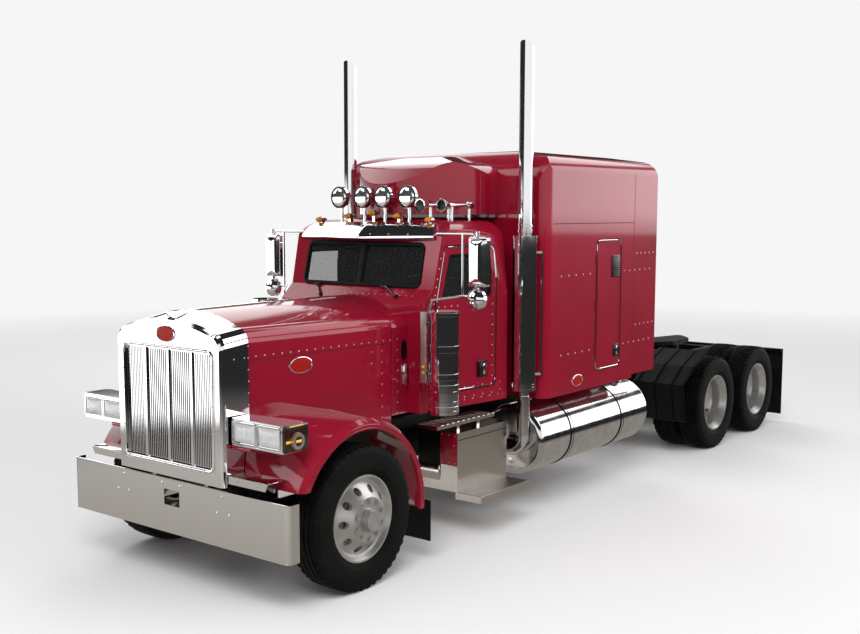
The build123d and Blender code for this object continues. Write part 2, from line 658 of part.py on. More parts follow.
def crown_space():
    """The room that the chrome surround takes up beside the fender."""
    return block((0, CROWN_HALF + GAP), (NOSE_Y - 10, HOOD_FRONT_Y), (FENDER_BASE, HOOD_SECTIONS[0][2]))


def headlamp():
    """A left headlamp pod: a slim housing with two square lamps and a turn signal outside."""
    back = LAMP_FRONT_Y + LAMP_DEPTH
    pod = along_z([(LAMP_X[0], LAMP_FRONT_Y, 12), (LAMP_X[1], LAMP_FRONT_Y, 30), (LAMP_X[1], back, 60),
                   (LAMP_X[0], back - 60, 12)], *LAMP_Z)
    middle = (LAMP_X[0] + LAMP_X[1]) / 2
    for x0, x1 in ((LAMP_X[0] + 22, middle - 12), (middle + 12, LAMP_X[1] - 28)):
        pod -= block((x0, x1), (LAMP_FRONT_Y - 1, LAMP_FRONT_Y + LAMP_GLASS_DEPTH), (LAMP_Z[0] + 24, LAMP_Z[1] - 24))
    signal_z = (LAMP_Z[0] + LAMP_Z[1]) / 2 + SIGNAL_DROP
    signal = rod("x", SIGNAL_R, LAMP_X[1] - 4, SIGNAL_OUT, (LAMP_FRONT_Y + SIGNAL_BACK, signal_z))
    return pod + signal - fender_filled()


# ---------------------------------------------------------------- cab
def cab_volume(inset):
    """The cab's outer form drawn in by inset: plan, side view and front view, intersected."""
    front, back = CAB_FRONT_Y + inset, CAB_BACK_Y - inset
    plan = along_z([(-CAB_FRONT_HALF + inset, front, 0), (CAB_FRONT_HALF - inset, front, 0),
                    (CAB_BACK_HALF - inset, back, 0), (-CAB_BACK_HALF + inset, back, 0)],
                   CAB_BOTTOM + inset, CAB_ROOF_Z + 50)
    low_z = 2040
    side = along_x([(front, CAB_BOTTOM + inset, 0), (front, low_z - inset, 0),
                    (SCREEN_BOTTOM[0] + inset - 25, SCREEN_BOTTOM[1] - 20 - inset, 0),
                    (SCREEN_BOTTOM[0] + inset, SCREEN_BOTTOM[1], 0),
                    (SCREEN_TOP[0] + inset + SCREEN_RAKE * 50, SCREEN_TOP[1] + 50, 0),
                    (SCREEN_TOP[0] + 240 + inset, CAB_ROOF_Z - 15 - inset, 200),
                    (back, CAB_ROOF_Z - inset, 150 - inset), (back, CAB_BOTTOM + inset, 0)], -1200, 1200)
    half = CAB_BACK_HALF - inset
    section = along_y([(-half, CAB_BOTTOM + inset, 0), (-half, 2100, 0), (-half + 75, CAB_ROOF_Z - 40 - inset, 190 - inset),
                       (0, CAB_ROOF_Z + 30 - inset, 0), (half - 75, CAB_ROOF_Z - 40 - inset, 190 - inset),
                       (half, 2100, 0), (half, CAB_BOTTOM + inset, 0)], CAB_FRONT_Y - 10, CAB_BACK_Y + 10)
    return plan & side & section


def front_zone():
    """The space of the cab's front wall and windscreen frame, ahead of the door frames."""
    y = DOOR_FRONT_Y - 15
    return along_x([(BUMPER_Y + 1500, 1000, 0), (y, 1000, 0), (y, BELT_Z, 0),
                    (y + SCREEN_RAKE * (CAB_ROOF_SPLIT_Z - BELT_Z), CAB_ROOF_SPLIT_Z, 0),
                    (BUMPER_Y + 1500, CAB_ROOF_SPLIT_Z, 0)], -1200, 1200)


def floor_zone():
    """The space of the cab's floor and back wall."""
    wall_front = CAB_BACK_Y - CAB_WALL
    y = DOOR_FRONT_Y - 15
    return along_x([(y, 1000, 0), (CAB_BACK_Y + 100, 1000, 0), (CAB_BACK_Y + 100, CAB_ROOF_SPLIT_Z, 0),
                    (wall_front, CAB_ROOF_SPLIT_Z, 0), (wall_front, CAB_BOTTOM + CAB_FLOOR_T, 0),
                    (y, CAB_BOTTOM + CAB_FLOOR_T, 0)], -1200, 1200)


def roof_zone():
    """The space above the cab's roof seam."""
    return block((-1200, 1200), (BUMPER_Y + 1500, CAB_BACK_Y + 100), (CAB_ROOF_SPLIT_Z, CAB_ROOF_Z + 200))


def cab_shell():
    """The cab's walls, roof and floor as one hollow form."""
    return cab_volume(0) - cab_volume(CAB_WALL)


def door_outline(inset):
    """Side view of the door's opening: upright in front up to the window, then raked."""
    return [(DOOR_FRONT_Y + inset, DOOR_BOTTOM + inset, 30), (DOOR_FRONT_Y + inset, BELT_Z, 0),
            (DOOR_FRONT_Y + SCREEN_RAKE * (DOOR_TOP - BELT_Z) + inset, DOOR_TOP - inset, 40),
            (DOOR_BACK_Y - inset, DOOR_TOP - inset, DOOR_CORNER),
            (DOOR_BACK_Y - inset, DOOR_BOTTOM + inset, DOOR_CORNER)]


def window_outline(inset):
    """Side view of the door's window."""
    front = DOOR_FRONT_Y + DOOR_FRAME
    return [(front + inset, BELT_Z + inset, 30),
            (front + SCREEN_RAKE * (DOOR_TOP - BELT_Z - DOOR_FRAME) + inset, DOOR_TOP - DOOR_FRAME - inset, 30),
            (DOOR_BACK_Y - DOOR_FRAME - inset, DOOR_TOP - DOOR_FRAME - inset, 40),
            (DOOR_BACK_Y - DOOR_FRAME - inset, BELT_Z + inset, 30)]


def barrels(at, heights, growth):
    """Round hinge barrels on one upright axis, grown all round by growth."""
    radius, half = HINGE_BARREL_R + growth, HINGE_BARREL_H / 2 + growth
    return [rod("z", radius, z - half, z + half, at) for z in heights]


def cowl():
    """The cab's front wall with the windscreen frame, and the scuttle that carries on the hood's line."""
    wall = cab_shell() & front_zone()
    for side in (-1, 1):
        x = sorted((side * SCREEN_POST, side * (SCREEN_HALF - 28)))
        wall -= block(x, (CAB_FRONT_Y, BUMPER_Y + 2400), (SCREEN_BOTTOM[1] + 28, SCREEN_TOP[1] - 28))
    y, half, side_top, crown_z = HOOD_SECTIONS[1]
    face = hood_section(COWL_FRONT_Y, half, side_top, crown_z, 0)
    scuttle = extrude(face, -(SCREEN_BOTTOM[0] - COWL_FRONT_Y))
    inner = extrude(hood_section(COWL_FRONT_Y, half, side_top, crown_z, HOOD_T), -(CAB_FRONT_Y - COWL_FRONT_Y))
    below = block((-1000, 1000), (COWL_FRONT_Y - 50, SCREEN_BOTTOM[0] + 50), (900, CAB_BOTTOM))
    return wall + (scuttle - inner - below - cab_volume(0))


def windscreen():
    """Two flat panes, one each side of the centre post."""
    z0, z1 = SCREEN_BOTTOM[1] + 28, SCREEN_TOP[1] - 28
    y0 = SCREEN_BOTTOM[0] + SCREEN_RAKE * 28 + 12
    y1 = y0 + SCREEN_RAKE * (z1 - z0)
    pane = along_x([(y0, z0, 0), (y0 + GLASS_T, z0, 0), (y1 + GLASS_T, z1, 0), (y1, z1, 0)],
                   SCREEN_POST, SCREEN_HALF - 28)
    return both(pane)


def cab_sides():
    """The two side walls, each a frame round its door."""
    wall = cab_shell() - front_zone() - floor_zone() - roof_zone()
    left = wall & block((SCREEN_HALF, 1200), (CAB_FRONT_Y, CAB_BACK_Y), (1000, 2700))
    left -= along_x(door_outline(0), 500, 1200)
    left -= barrels(DOOR_HINGE, DOOR_HINGE_Z, GAP)
    return both(left)


def cab_tub():
    """The cab's floor and its back wall with the passage to the sleeper."""
    wall = (cab_shell() & floor_zone()) - front_zone()
    return wall - block((-PASSAGE_HALF, PASSAGE_HALF), (CAB_BACK_Y - 100, CAB_BACK_Y + 10), PASSAGE_Z)


def cab_roof():
    """The cab's domed roof."""
    return cab_shell() & roof_zone()


def door():
    """The left door: a panel as thick as the cab's wall with its window cut out, and a handle outside."""
    panel = cab_shell() & along_x(door_outline(GAP), 500, 1200)
    panel -= along_x(window_outline(0), 500, 1200)
    y, z = HANDLE_AT
    half_l, half_h = HANDLE_SIZE[0] / 2, HANDLE_SIZE[1] / 2
    plate = block((600, 1200), (y - half_l, y + half_l), (z - half_h, z + half_h))
    plate = plate & (cab_volume(-HANDLE_SIZE[2]) - cab_volume(2))
    return panel + plate + barrels(DOOR_HINGE, DOOR_HINGE_Z, 0)


def door_glass():
    """The left door's pane, in the middle of the door's thickness."""
    depth = (CAB_WALL - GLASS_T) / 2
    pane = cab_volume(depth) - cab_volume(depth + GLASS_T)
    return pane & along_x(window_outline(0), 500, 1200)


def visor():
    """The deep sun visor over the windscreen."""
    y, z = SCREEN_TOP
    blade = along_x([(y - 75, z + 24, 0), (y - 66, z + 24, 0), (y + 60, z + 165, 0), (y + 51, z + 165, 0)],
                    -790, 790)
    ends = along_z([(-800, y + 80, 0), (-560, y - 90, 0), (560, y - 90, 0), (800, y + 80, 0), (800, y + 200, 0),
                    (-800, y + 200, 0)], z, z + 200)
    return (blade & ends) - cab_volume(0)


def roof_lamps():
    """On the cab's roof: four round lamps in deep bowls and five bullet markers, each on its own foot."""
    pieces = []
    y = ROOF_LAMP_Y
    for x in ROOF_LAMP_X:
        bowl = [(y - 40, 0, 0), (y - 40, LAMP_R, 0), (y - 10, LAMP_R, 0), (y + 45, LAMP_R * 0.72, 0),
                (y + 70, LAMP_R * 0.3, 0), (y + 70, 0, 0)]
        lamp = Pos(x, 0, ROOF_LAMP_Z) * revolve(Plane.YZ * outline(bowl), Axis.Y, 360)
        lamp -= rod("y", LAMP_R - 9, y - 41, y - 28, (x, ROOF_LAMP_Z))
        lamp += rod("z", 14, 2700, ROOF_LAMP_Z - LAMP_R * 0.8, (x, y))
        pieces.append(lamp - cab_volume(0))
    for x in MARKER_X:
        z = MARKER_Z - abs(x) * 0.09
        bullet = [(y - 55, 0, 0), (y - 52, 17, 0), (y - 38, 27, 0), (y + 5, 24, 0), (y + 55, 6, 0), (y + 55, 0, 0)]
        marker = Pos(x, 0, z) * revolve(Plane.YZ * outline(bullet), Axis.Y, 360)
        pieces.append(marker + block((x - 14, x + 14), (y - 20, y + 20), (2650, z)) - cab_volume(0))
    return Compound(children=pieces)


def horns():
    """Two long trumpets on the left of the roof, each with a flared bell in front."""
    pieces = []
    for x, y in HORNS:
        trumpet = [(y, 0, 0), (y, HORN_BELL_R, 0), (y + 12, HORN_BELL_R - 3, 0), (y + 50, 26, 0), (y + 110, 17, 0),
                   (y + TRUMPET_L - 70, 12, 0), (y + TRUMPET_L - 66, 30, 0), (y + TRUMPET_L, 30, 0),
                   (y + TRUMPET_L, 0, 0)]
        horn = Pos(x, 0, TRUMPET_Z) * revolve(Plane.YZ * outline(trumpet), Axis.Y, 360)
        mouth = [(y - 1, 0, 0), (y - 1, HORN_BELL_R - 8, 0), (y + 45, 14, 0), (y + 60, 0, 0)]
        horn -= Pos(x, 0, TRUMPET_Z) * revolve(Plane.YZ * outline(mouth), Axis.Y, 360)
        for foot_y in (y + 150, y + TRUMPET_L - 40):
            horn += rod("z", 12, 2680, TRUMPET_Z, (x, foot_y))
        pieces.append(horn - cab_volume(0))
    return Compound(children=pieces)


def dashboard():
    """The dashboard, steering column and steering wheel."""
    y = SCREEN_BOTTOM[0] + CAB_WALL
    board = along_x([(y, 1700, 0), (y + 30, 2120, 0), (y + 170, 2120, 60), (y + 260, 1960, 40), (y + 180, 1700, 0)],
                    -700, 700)
    centre = Pos(420, y + 330, 2075) * Rot(-60, 0, 0)
    ring = centre * Torus(215, 15)
    hub = centre * Cylinder(60, 36)
    spoke = centre * Box(430, 26, 14)
    column = centre * Pos(0, 0, -130) * Cylinder(28, 230)
    return board + ring + hub + spoke + column


def seats():
    """Two high-backed seats and the sleeper's mattress."""
    floor = CAB_BOTTOM + CAB_FLOOR_T
    pieces = []
    for x in (-430, 430):
        y = BUMPER_Y + 2560
        seat = block((x - 230, x + 230), (y, y + 440), (floor + 330, floor + 480))
        seat += along_x([(y + 330, floor + 400, 0), (y + 440, floor + 400, 0), (y + 470, 2430, 40), (y + 380, 2430, 40)],
                        x - 220, x + 220)
        seat += block((x - 150, x + 150), (y + 60, y + 380), (floor, floor + 330))
        pieces.append(seat)
    mattress = block((-1120, 1120), (SLEEPER_BACK_Y - 1050, SLEEPER_BACK_Y - 80), (1700, 1850))
    pieces.append(mattress)
    return Compound(children=pieces)


# ---------------------------------------------------------------- sleeper
def sleeper_volume(inset, back):
    """The sleeper's outer form drawn in by inset, as far back as back."""
    front = SLEEPER_FRONT_Y + inset
    half = SLEEPER_HALF - inset
    roof = SLEEPER_ROOF_Z - inset
    plan = along_z([(-half, front, 90 - inset), (half, front, 90 - inset), (half, back, 0), (-half, back, 0)],
                   SLEEPER_BOTTOM + inset, SLEEPER_ROOF_Z + 50)
    side = along_x([(front, SLEEPER_BOTTOM + inset, 0), (front, roof - 40, 280 - inset), (front + 900, roof, 0),
                    (EXTENDER_BACK_Y - (0 if inset == 0 else -50), roof - 20, 260 if inset == 0 else 0),
                    (EXTENDER_BACK_Y - (0 if inset == 0 else -50), SLEEPER_BOTTOM + inset, 0)], -1300, 1300)
    section = along_y([(-half, SLEEPER_BOTTOM + inset, 0), (-half, roof - 95, 150 - inset), (-700, roof - 25, 0),
                       (0, roof, 0), (700, roof - 25, 0), (half, roof - 95, 150 - inset),
                       (half, SLEEPER_BOTTOM + inset, 0)], SLEEPER_FRONT_Y - 10, EXTENDER_BACK_Y + 100)
    return plan & side & section


def sleeper_shell():
    """The sleeper's skin, open at the back of its side extenders."""
    return sleeper_volume(0, EXTENDER_BACK_Y) - sleeper_volume(SLEEPER_WALL, EXTENDER_BACK_Y + 50)


def dome_volume(inset):
    """The round-nosed dome that reaches forward over the cab's roof."""
    a, b = DOME_HALF - inset, SLEEPER_FRONT_Y - DOME_NOSE_Y - inset
    plan = Ellipse(a, b) + Pos(0, 75) * Rectangle(2 * a, 150)
    body = Pos(0, SLEEPER_FRONT_Y, DOME_BOTTOM - inset) * extrude(plan, 700)
    side = along_x([(DOME_NOSE_Y - 50, DOME_BOTTOM - inset, 0), (DOME_NOSE_Y - 20, 3060 - inset, 60),
                    (DOME_NOSE_Y + 250, 3245 - inset, 300), (DOME_NOSE_Y + 600, 3330 - inset, 300),
                    (SLEEPER_FRONT_Y + 200, 3360 - inset, 0), (SLEEPER_FRONT_Y + 200, DOME_BOTTOM - inset, 0)],
                   -800, 800)
    section = along_y([(-a - 5, DOME_BOTTOM - inset, 0), (-a - 5, 3240 - inset, 180), (0, 3375 - inset, 900),
                       (a + 5, 3240 - inset, 180), (a + 5, DOME_BOTTOM - inset, 0)],
                      DOME_NOSE_Y - 60, SLEEPER_FRONT_Y + 250)
    return body & side & section


def sleeper_roof():
    """The raised roof with the dome over the cab, above the roof seam."""
    top = block((-1300, 1300), (DOME_NOSE_Y - 100, SLEEPER_BACK_Y), (SLEEPER_SPLIT_Z, SLEEPER_ROOF_Z + 100))
    roof = (sleeper_shell() & top)
    back = sleeper_volume(SLEEPER_WALL, EXTENDER_BACK_Y + 50) & block(
        (-1300, 1300), (SLEEPER_BACK_Y - SLEEPER_WALL, SLEEPER_BACK_Y), (SLEEPER_SPLIT_Z, SLEEPER_ROOF_Z))
    dome = dome_volume(0) - dome_volume(SLEEPER_WALL) - sleeper_volume(0, EXTENDER_BACK_Y)
    return roof + back + dome


def bunk_door_outline(inset):
    """Side view of a bunk door's opening."""
    y0, y1 = BUNK_DOOR_Y
    z0, z1 = BUNK_DOOR_Z
    return [(y0 + inset, z0 + inset, BUNK_DOOR_CORNER), (y0 + inset, z1 - inset, BUNK_DOOR_CORNER),
            (y1 - inset, z1 - inset, BUNK_DOOR_CORNER), (y1 - inset, z0 + inset, BUNK_DOOR_CORNER)]


def sleeper_sides():
    """The sleeper's side walls, each with its bunk door's opening."""
    zone = block((SLEEPER_HALF - 120, 1300), (SLEEPER_FRONT_Y + 95, SLEEPER_BACK_Y), (SLEEPER_BOTTOM + SLEEPER_WALL, SLEEPER_SPLIT_Z))
    left = (sleeper_shell() & zone) - along_x(bunk_door_outline(0), 1000, 1300)
    left -= barrels(BUNK_HINGE, BUNK_HINGE_Z, GAP)
    return both(left)


def bunk_door():
    """The left bunk door, with the frame of its vent and its handle outside."""
    panel = sleeper_shell() & along_x(bunk_door_outline(GAP), 1000, 1300)
    for y0, y1, z0, z1 in BUNK_FITTINGS:
        panel += block((SLEEPER_HALF - 5, SLEEPER_HALF + 6), (y0, y1), (z0, z1))
    return panel + barrels(BUNK_HINGE, BUNK_HINGE_Z, 0)


def sleeper_tub():
    """The sleeper's floor, its front wall with the passage, and its back wall."""
    inside = sleeper_volume(SLEEPER_WALL, EXTENDER_BACK_Y + 50)
    low = block((-1300, 1300), (SLEEPER_FRONT_Y - 10, SLEEPER_BACK_Y), (SLEEPER_BOTTOM - 10, SLEEPER_SPLIT_Z))
    sides = block((SLEEPER_HALF - 120, 1300), (SLEEPER_FRONT_Y + 95, SLEEPER_BACK_Y + 10), (SLEEPER_BOTTOM + SLEEPER_WALL, SLEEPER_SPLIT_Z + 10))
    shell = (sleeper_shell() & low) - sides - flipped(sides)
    back = inside & block((-1300, 1300), (SLEEPER_BACK_Y - SLEEPER_WALL, SLEEPER_BACK_Y), (SLEEPER_BOTTOM, SLEEPER_SPLIT_Z))
    passage = block((-PASSAGE_HALF, PASSAGE_HALF), (SLEEPER_FRONT_Y - 10, SLEEPER_FRONT_Y + 100), PASSAGE_Z)
    return shell + back - passage


def extenders():
    """The side and roof extenders behind the sleeper, open to the rear."""
    zone = block((-1300, 1300), (SLEEPER_BACK_Y, EXTENDER_BACK_Y + 10), (SLEEPER_BOTTOM + SLEEPER_WALL, SLEEPER_ROOF_Z + 100))
    return sleeper_shell() & zone


def boot():
    """The bellows round the passage between the cab and the sleeper."""
    y = (CAB_BACK_Y, SLEEPER_FRONT_Y)
    outer = block((-PASSAGE_HALF - 60, PASSAGE_HALF + 60), y, (PASSAGE_Z[0] - 40, PASSAGE_Z[1] + 60))
    return outer - block((-PASSAGE_HALF, PASSAGE_HALF), (y[0] - 1, y[1] + 1), PASSAGE_Z)


# ---------------------------------------------------------------- hung on the frame and cab
def fuel_tank():
    """The left tank, a polished drum with dished ends, two straps, a filler cap and its brackets."""
    y0, y1 = TANK_Y
    edge = TANK_EDGE_R
    side = [(y0, 0, 0), (y1, 0, 0), (y1, TANK_R, edge), (y0, TANK_R, edge)]
    tank = Pos(TANK_X, 0, TANK_Z) * revolve(Plane.YZ * outline(side), Axis.Y, 360)
    for y in TANK_STRAPS:
        tank += rod("y", TANK_R + STRAP_T, y - STRAP_W / 2, y + STRAP_W / 2, (TANK_X, TANK_Z))
        tank += block((RAIL_X, TANK_X), (y - STRAP_W, y + STRAP_W), (RAIL_BOTTOM - 120, RAIL_BOTTOM + 60))
    neck_x = TANK_X + 60
    tank += rod("z", 55, TANK_Z, TANK_Z + TANK_R + 28, (neck_x, TANK_FILLER_Y))
    tank += rod("z", 68, TANK_Z + TANK_R + 10, TANK_Z + TANK_R + 40, (neck_x, TANK_FILLER_Y))
    return tank


def step_box():
    """The left tool box under the cab, with the lower step outside it and the upper step over it."""
    shape = block(BOX_X, BOX_Y, BOX_Z)
    shape += block((BOX_X[1] - 20, STEP_OUT), BOX_Y, (BOX_Z[0] - STEP_T, BOX_Z[0]))
    shape += block((BOX_X[1] - 150, BOX_X[1] + 60), (BUMPER_Y + 1960, BUMPER_Y + 2800), (BOX_Z[1] + 90, BOX_Z[1] + 120))
    for y in (BUMPER_Y + 2400, BUMPER_Y + 2700):
        shape += block((BOX_X[1] - 120, BOX_X[1] - 60), (y, y + 40), (BOX_Z[1], BOX_Z[1] + 90))
        shape += block((RAIL_X, BOX_X[0]), (y, y + 40), (BOX_Z[1] - 150, BOX_Z[1] - 50))
    return shape


def exhaust():
    """The left exhaust: elbow from under the cab, muffler with its grab rail, clamps and a mitred stack."""
    at = (STACK_X, STACK_Y)
    low, high = MUFFLER_Z
    stack = rod("z", STACK_R, high - 1, STACK_TOP, at) - rod("z", STACK_R - STACK_WALL, high + 40, STACK_TOP + 1, at)
    stack -= along_x([(STACK_Y - STACK_R, STACK_TOP, 0), (STACK_Y + STACK_R, STACK_TOP - STACK_MITRE, 0),
                      (STACK_Y + STACK_R + 1, STACK_TOP + 50, 0), (STACK_Y - STACK_R, STACK_TOP + 50, 0)],
                     STACK_X - STACK_R - 5, STACK_X + STACK_R + 5)
    shape = rod("z", MUFFLER_R, low, high, at) + stack
    for z in (low, high - MUFFLER_RING_H):
        shape += rod("z", MUFFLER_R + 5, z, z + MUFFLER_RING_H, at)
    shape += rod("z", STACK_R + 7, high + 25, high + 60, at) + rod("z", EXHAUST_R + 8, low - 85, low - 50, at)
    rail_at = (STACK_X + (MUFFLER_R + 42) * cos(GRAB_ANGLE), STACK_Y + (MUFFLER_R + 42) * sin(GRAB_ANGLE))
    shape += rod("z", GRAB_R, low + 130, high - 130, rail_at)
    for z in (low + 150, high - 150):
        foot = Line((STACK_X, STACK_Y, z), (*rail_at, z))
        shape += sweep(Plane(origin=foot @ 0, z_dir=foot % 0) * Circle(GRAB_R + 2), path=foot)
    bend = 150
    level = 640
    path = Line((0, low + 1), (0, level + bend)) + CenterArc((-bend, level + bend), bend, 0, -90)
    path += Line((-bend, level), (-bend - 250, level))
    path = Plane(origin=(STACK_X, STACK_Y, 0), x_dir=(1, 0, 0), z_dir=(0, -1, 0)) * path
    pipe = sweep(Plane(origin=path @ 0, z_dir=path % 0) * Circle(EXHAUST_R), path=path)
    return shape + pipe


def air_cleaner():
    """The left air cleaner: an upright drum with bands, and the lamp bar in front of it."""
    at = (AIR_X, AIR_Y)
    shape = rod("z", AIR_R, *AIR_Z, at)
    for z in (AIR_Z[0] + 60, AIR_Z[0] + 240, AIR_Z[0] + 330, AIR_Z[0] + 560, AIR_Z[1] - 20):
        shape += rod("z", AIR_R + 5, z - 9, z + 9, at)
    bar_x, bar_y = AIR_X - 100, AIR_Y - 140
    shape += block((bar_x - 25, bar_x + 25), (bar_y, bar_y + 22), (1430, AIR_Z[1] - 4))
    for z in (1500, 1900):
        shape += block((bar_x - 10, bar_x + 40), (bar_y + 20, AIR_Y - 40), (z, z + 25))
    for z in (1350, 1800):
        shape += block((CAB_FRONT_HALF + 12, AIR_X - 80), (AIR_Y - 5, AIR_Y + 20), (z, z + 50))
    return shape


def tube(radius, *points):
    """A straight-run tube through the points, with ball joints at the turns."""
    shape = None
    for start, end in zip(points[:-1], points[1:]):
        run = Line(start, end)
        leg = sweep(Plane(origin=run @ 0, z_dir=run % 0) * Circle(radius), path=run)
        shape = leg if shape is None else shape + leg
    for point in points[1:-1]:
        shape += Pos(*point) * Sphere(radius)
    return shape


def mirror_set():
    """The left mirror: a tubular frame off the cab's front post, a tall head and a round spot mirror."""
    y = MIRROR_Y
    inner, outer = MIRROR_TUBE_X
    low, high = MIRROR_Z
    r = MIRROR_TUBE_R
    shape = tube(r, (CAB_FRONT_HALF - 30, y, high), (outer - 40, y, high), (outer, y, high - 40), (outer, y, low))
    shape += tube(r, (CAB_FRONT_HALF + 24, BUMPER_Y + 2060, low - 150), (CAB_FRONT_HALF + 60, BUMPER_Y + 2070, low - 40),
                  (inner - 30, y, low - 10), (outer + 10, y, low))
    shape += tube(r, (inner, y, low - 8), (inner, y, high + 2))
    head = along_y([(MIRROR_HEAD_X[0], low + 75, 22), (MIRROR_HEAD_X[1], low + 75, 22),
                    (MIRROR_HEAD_X[1], high - 28, 22), (MIRROR_HEAD_X[0], high - 28, 22)], y + 2, y + 48)
    shape += head + rod("y", SPOT_R, y - 20, y + 18, (outer - 4, low - 30))
    return shape - cab_volume(0)


def quarter_fender():
    """The left ribbed guard ahead of the drive wheels."""
    y = DRIVE_Y[0]
    t = 8
    profile = [(-900, 450), (-990, 880), (-710, 1060), (-330, 1205)]
    upper = [(y + a, z, 0) for a, z in profile]
    lower = [(y + a + t, z - t, 0) for a, z in reversed(profile)]
    shape = along_x(upper + lower, 600, 1215)
    for x in (640, 850, 1060, 1190):
        rib = [(y + a - 14, z + 8, 0) for a, z in profile] + [(y + a + 4, z - 4, 0) for a, z in reversed(profile)]
        shape += along_x(rib, x, x + 16)
    shape += block((RAIL_X, 640), (y - 760, y - 720), (975, 1045))
    return shape


def rear_hanger():
    """The cross bar behind the rails that carries the flaps and the tail lamps."""
    y = (REAR_Y - 70, REAR_Y - 10)
    shape = block((-FLAP_X[1], FLAP_X[1]), y, (952, 990))
    for side in (-1, 1):
        x = sorted((side * (RAIL_X - RAIL_FLANGE), side * (RAIL_X - RAIL_T)))
        shape += block(x, (RAIL_BACK_Y - 120, y[0]), (RAIL_BOTTOM + 30, RAIL_TOP - 30))
        shape += rod("y", 50, y[0] - 30, y[1] + 6, (side * 520, 900)) + block((side * 520 - 20, side * 520 + 20), y, (880, 960))
    return shape


def mud_flaps():
    """Rubber flaps behind the drive wheels and small ones behind the steering wheels."""
    rear = block(FLAP_X, (REAR_Y - FLAP_T, REAR_Y), (100, 985))
    y = BUMPER_Y + 1648
    front = block((870, 1175), (y, y + FLAP_T), (190, 520))
    front += block((RAIL_X, 900), (y + FLAP_T, y + FLAP_T + 30), (500, 530)) + block((RAIL_X, RAIL_X + 30), (y + FLAP_T, y + FLAP_T + 30), (500, 800))
    return Compound(children=[rear, flipped(rear), front, flipped(front)])


def fifth_wheel_base():
    """Two pillars on the rails with the pin that the fifth wheel's plate rocks on."""
    pillar_x = (RAIL_X - 70, RAIL_X - 20)
    shape = block((-RAIL_X, RAIL_X), (ROCK_Y - 260, ROCK_Y + 260), (RAIL_TOP, RAIL_TOP + 14))
    for side in (-1, 1):
        x = sorted((side * pillar_x[0], side * pillar_x[1]))
        shape += along_x([(ROCK_Y - 150, RAIL_TOP + 14, 0), (ROCK_Y + 150, RAIL_TOP + 14, 0),
                          (ROCK_Y + 36, ROCK_Z + 24, 20), (ROCK_Y - 36, ROCK_Z + 24, 20)], *x)
        shape += rod("x", 22, side * (RAIL_X - 45) - 60, side * (RAIL_X - 45) + 60, (ROCK_Y, ROCK_Z))
    return shape


def fifth_wheel_plate():
    """The greased top plate with its kingpin slot, skirts and lugs round the rocking pins."""
    y0, y1 = PLATE_Y
    king_y = ROCK_Y - 10
    top = along_z([(-PLATE_HALF * 0.72, y0, 40), (PLATE_HALF * 0.72, y0, 40), (PLATE_HALF, y0 + 210, 60),
                   (PLATE_HALF, y1 - 240, 80), (PLATE_HALF * 0.55, y1, 40), (-PLATE_HALF * 0.55, y1, 40),
                   (-PLATE_HALF, y1 - 240, 80), (-PLATE_HALF, y0 + 210, 60)], PLATE_TOP - PLATE_T, PLATE_TOP)
    slot = rod("z", KING_SLOT_R, PLATE_TOP - 100, PLATE_TOP + 1, (0, king_y))
    slot += along_z([(-KING_SLOT_R, king_y, 0), (KING_SLOT_R, king_y, 0), (180, y1 + 10, 0), (-180, y1 + 10, 0)],
                    PLATE_TOP - 100, PLATE_TOP + 1)
    top -= slot
    for side in (-1, 1):
        for start in (RAIL_X - 98, RAIL_X - 14):
            x = sorted((side * start, side * (start + 22)))
            lug = block(x, (ROCK_Y - 45, ROCK_Y + 45), (ROCK_Z - 42, PLATE_TOP - PLATE_T))
            top += lug - rod("x", 22 + PIN_CLEARANCE, x[0] - 5, x[1] + 5, (ROCK_Y, ROCK_Z))
    return top


# ---------------------------------------------------------------- all nodes
def at_axle(shape, y):
    """Move a wheel piece from the X axis to the axle at y."""
    return Pos(0, y, AXLE_Z) * shape


def parts():
    """Every node by name."""
    nodes = {
        "frame_rails": frame_rails(), "crossmembers": crossmembers(), "bumper": bumper(),
        "front_axle": front_axle(), "drive_axles": drive_axles(), "suspension": suspension(),
        "engine": engine(), "radiator": radiator(), "fuel_tanks": both(fuel_tank()),
        "step_boxes": both(step_box()), "exhausts": both(exhaust()), "air_cleaners": both(air_cleaner()),
        "mirrors": both(mirror_set()), "quarter_fenders": both(quarter_fender()), "rear_hanger": rear_hanger(),
        "mud_flaps": mud_flaps(), "fifth_wheel_base": fifth_wheel_base(),
        "cowl": cowl(), "windscreen": windscreen(), "cab_sides": cab_sides(), "cab_tub": cab_tub(),
        "cab_roof": cab_roof(), "visor": visor(), "roof_lamps": roof_lamps(), "horns": horns(),
        "dashboard": dashboard(), "seats": seats(), "boot": boot(),
        "sleeper_tub": sleeper_tub(), "sleeper_sides": sleeper_sides(), "sleeper_roof": sleeper_roof(),
        "extenders": extenders(),
        "hood": hood(), "crown": crown(), "grille": grille(), "grille_screen": grille_screen(), "fenders": both(fender()),
        "headlamps": both(headlamp()), "fifth_wheel_plate": fifth_wheel_plate(),
    }
    sides = {"left": lambda shape: shape, "right": flipped}
    for side, turn in sides.items():
        nodes["knuckle_" + side] = turn(knuckle())
        nodes["steer_wheel_" + side] = turn(at_axle(steer_wheel(), STEER_Y))
        nodes["steer_tyre_" + side] = turn(at_axle(tyre(STEER_TYRE_X), STEER_Y))
        nodes["door_" + side] = turn(door())
        nodes["door_glass_" + side] = turn(door_glass())
        nodes["bunk_door_" + side] = turn(bunk_door())
        for number, y in enumerate(DRIVE_Y, 1):
            nodes[f"drive_wheel_{number}_{side}"] = turn(at_axle(drive_wheel(), y))
            nodes[f"drive_tyres_{number}_{side}"] = turn(at_axle(drive_tyres(), y))
    return nodes


os.makedirs("parts", exist_ok=True)
for name, shape in parts().items():
    export_step(shape, f"parts/{name}.step")
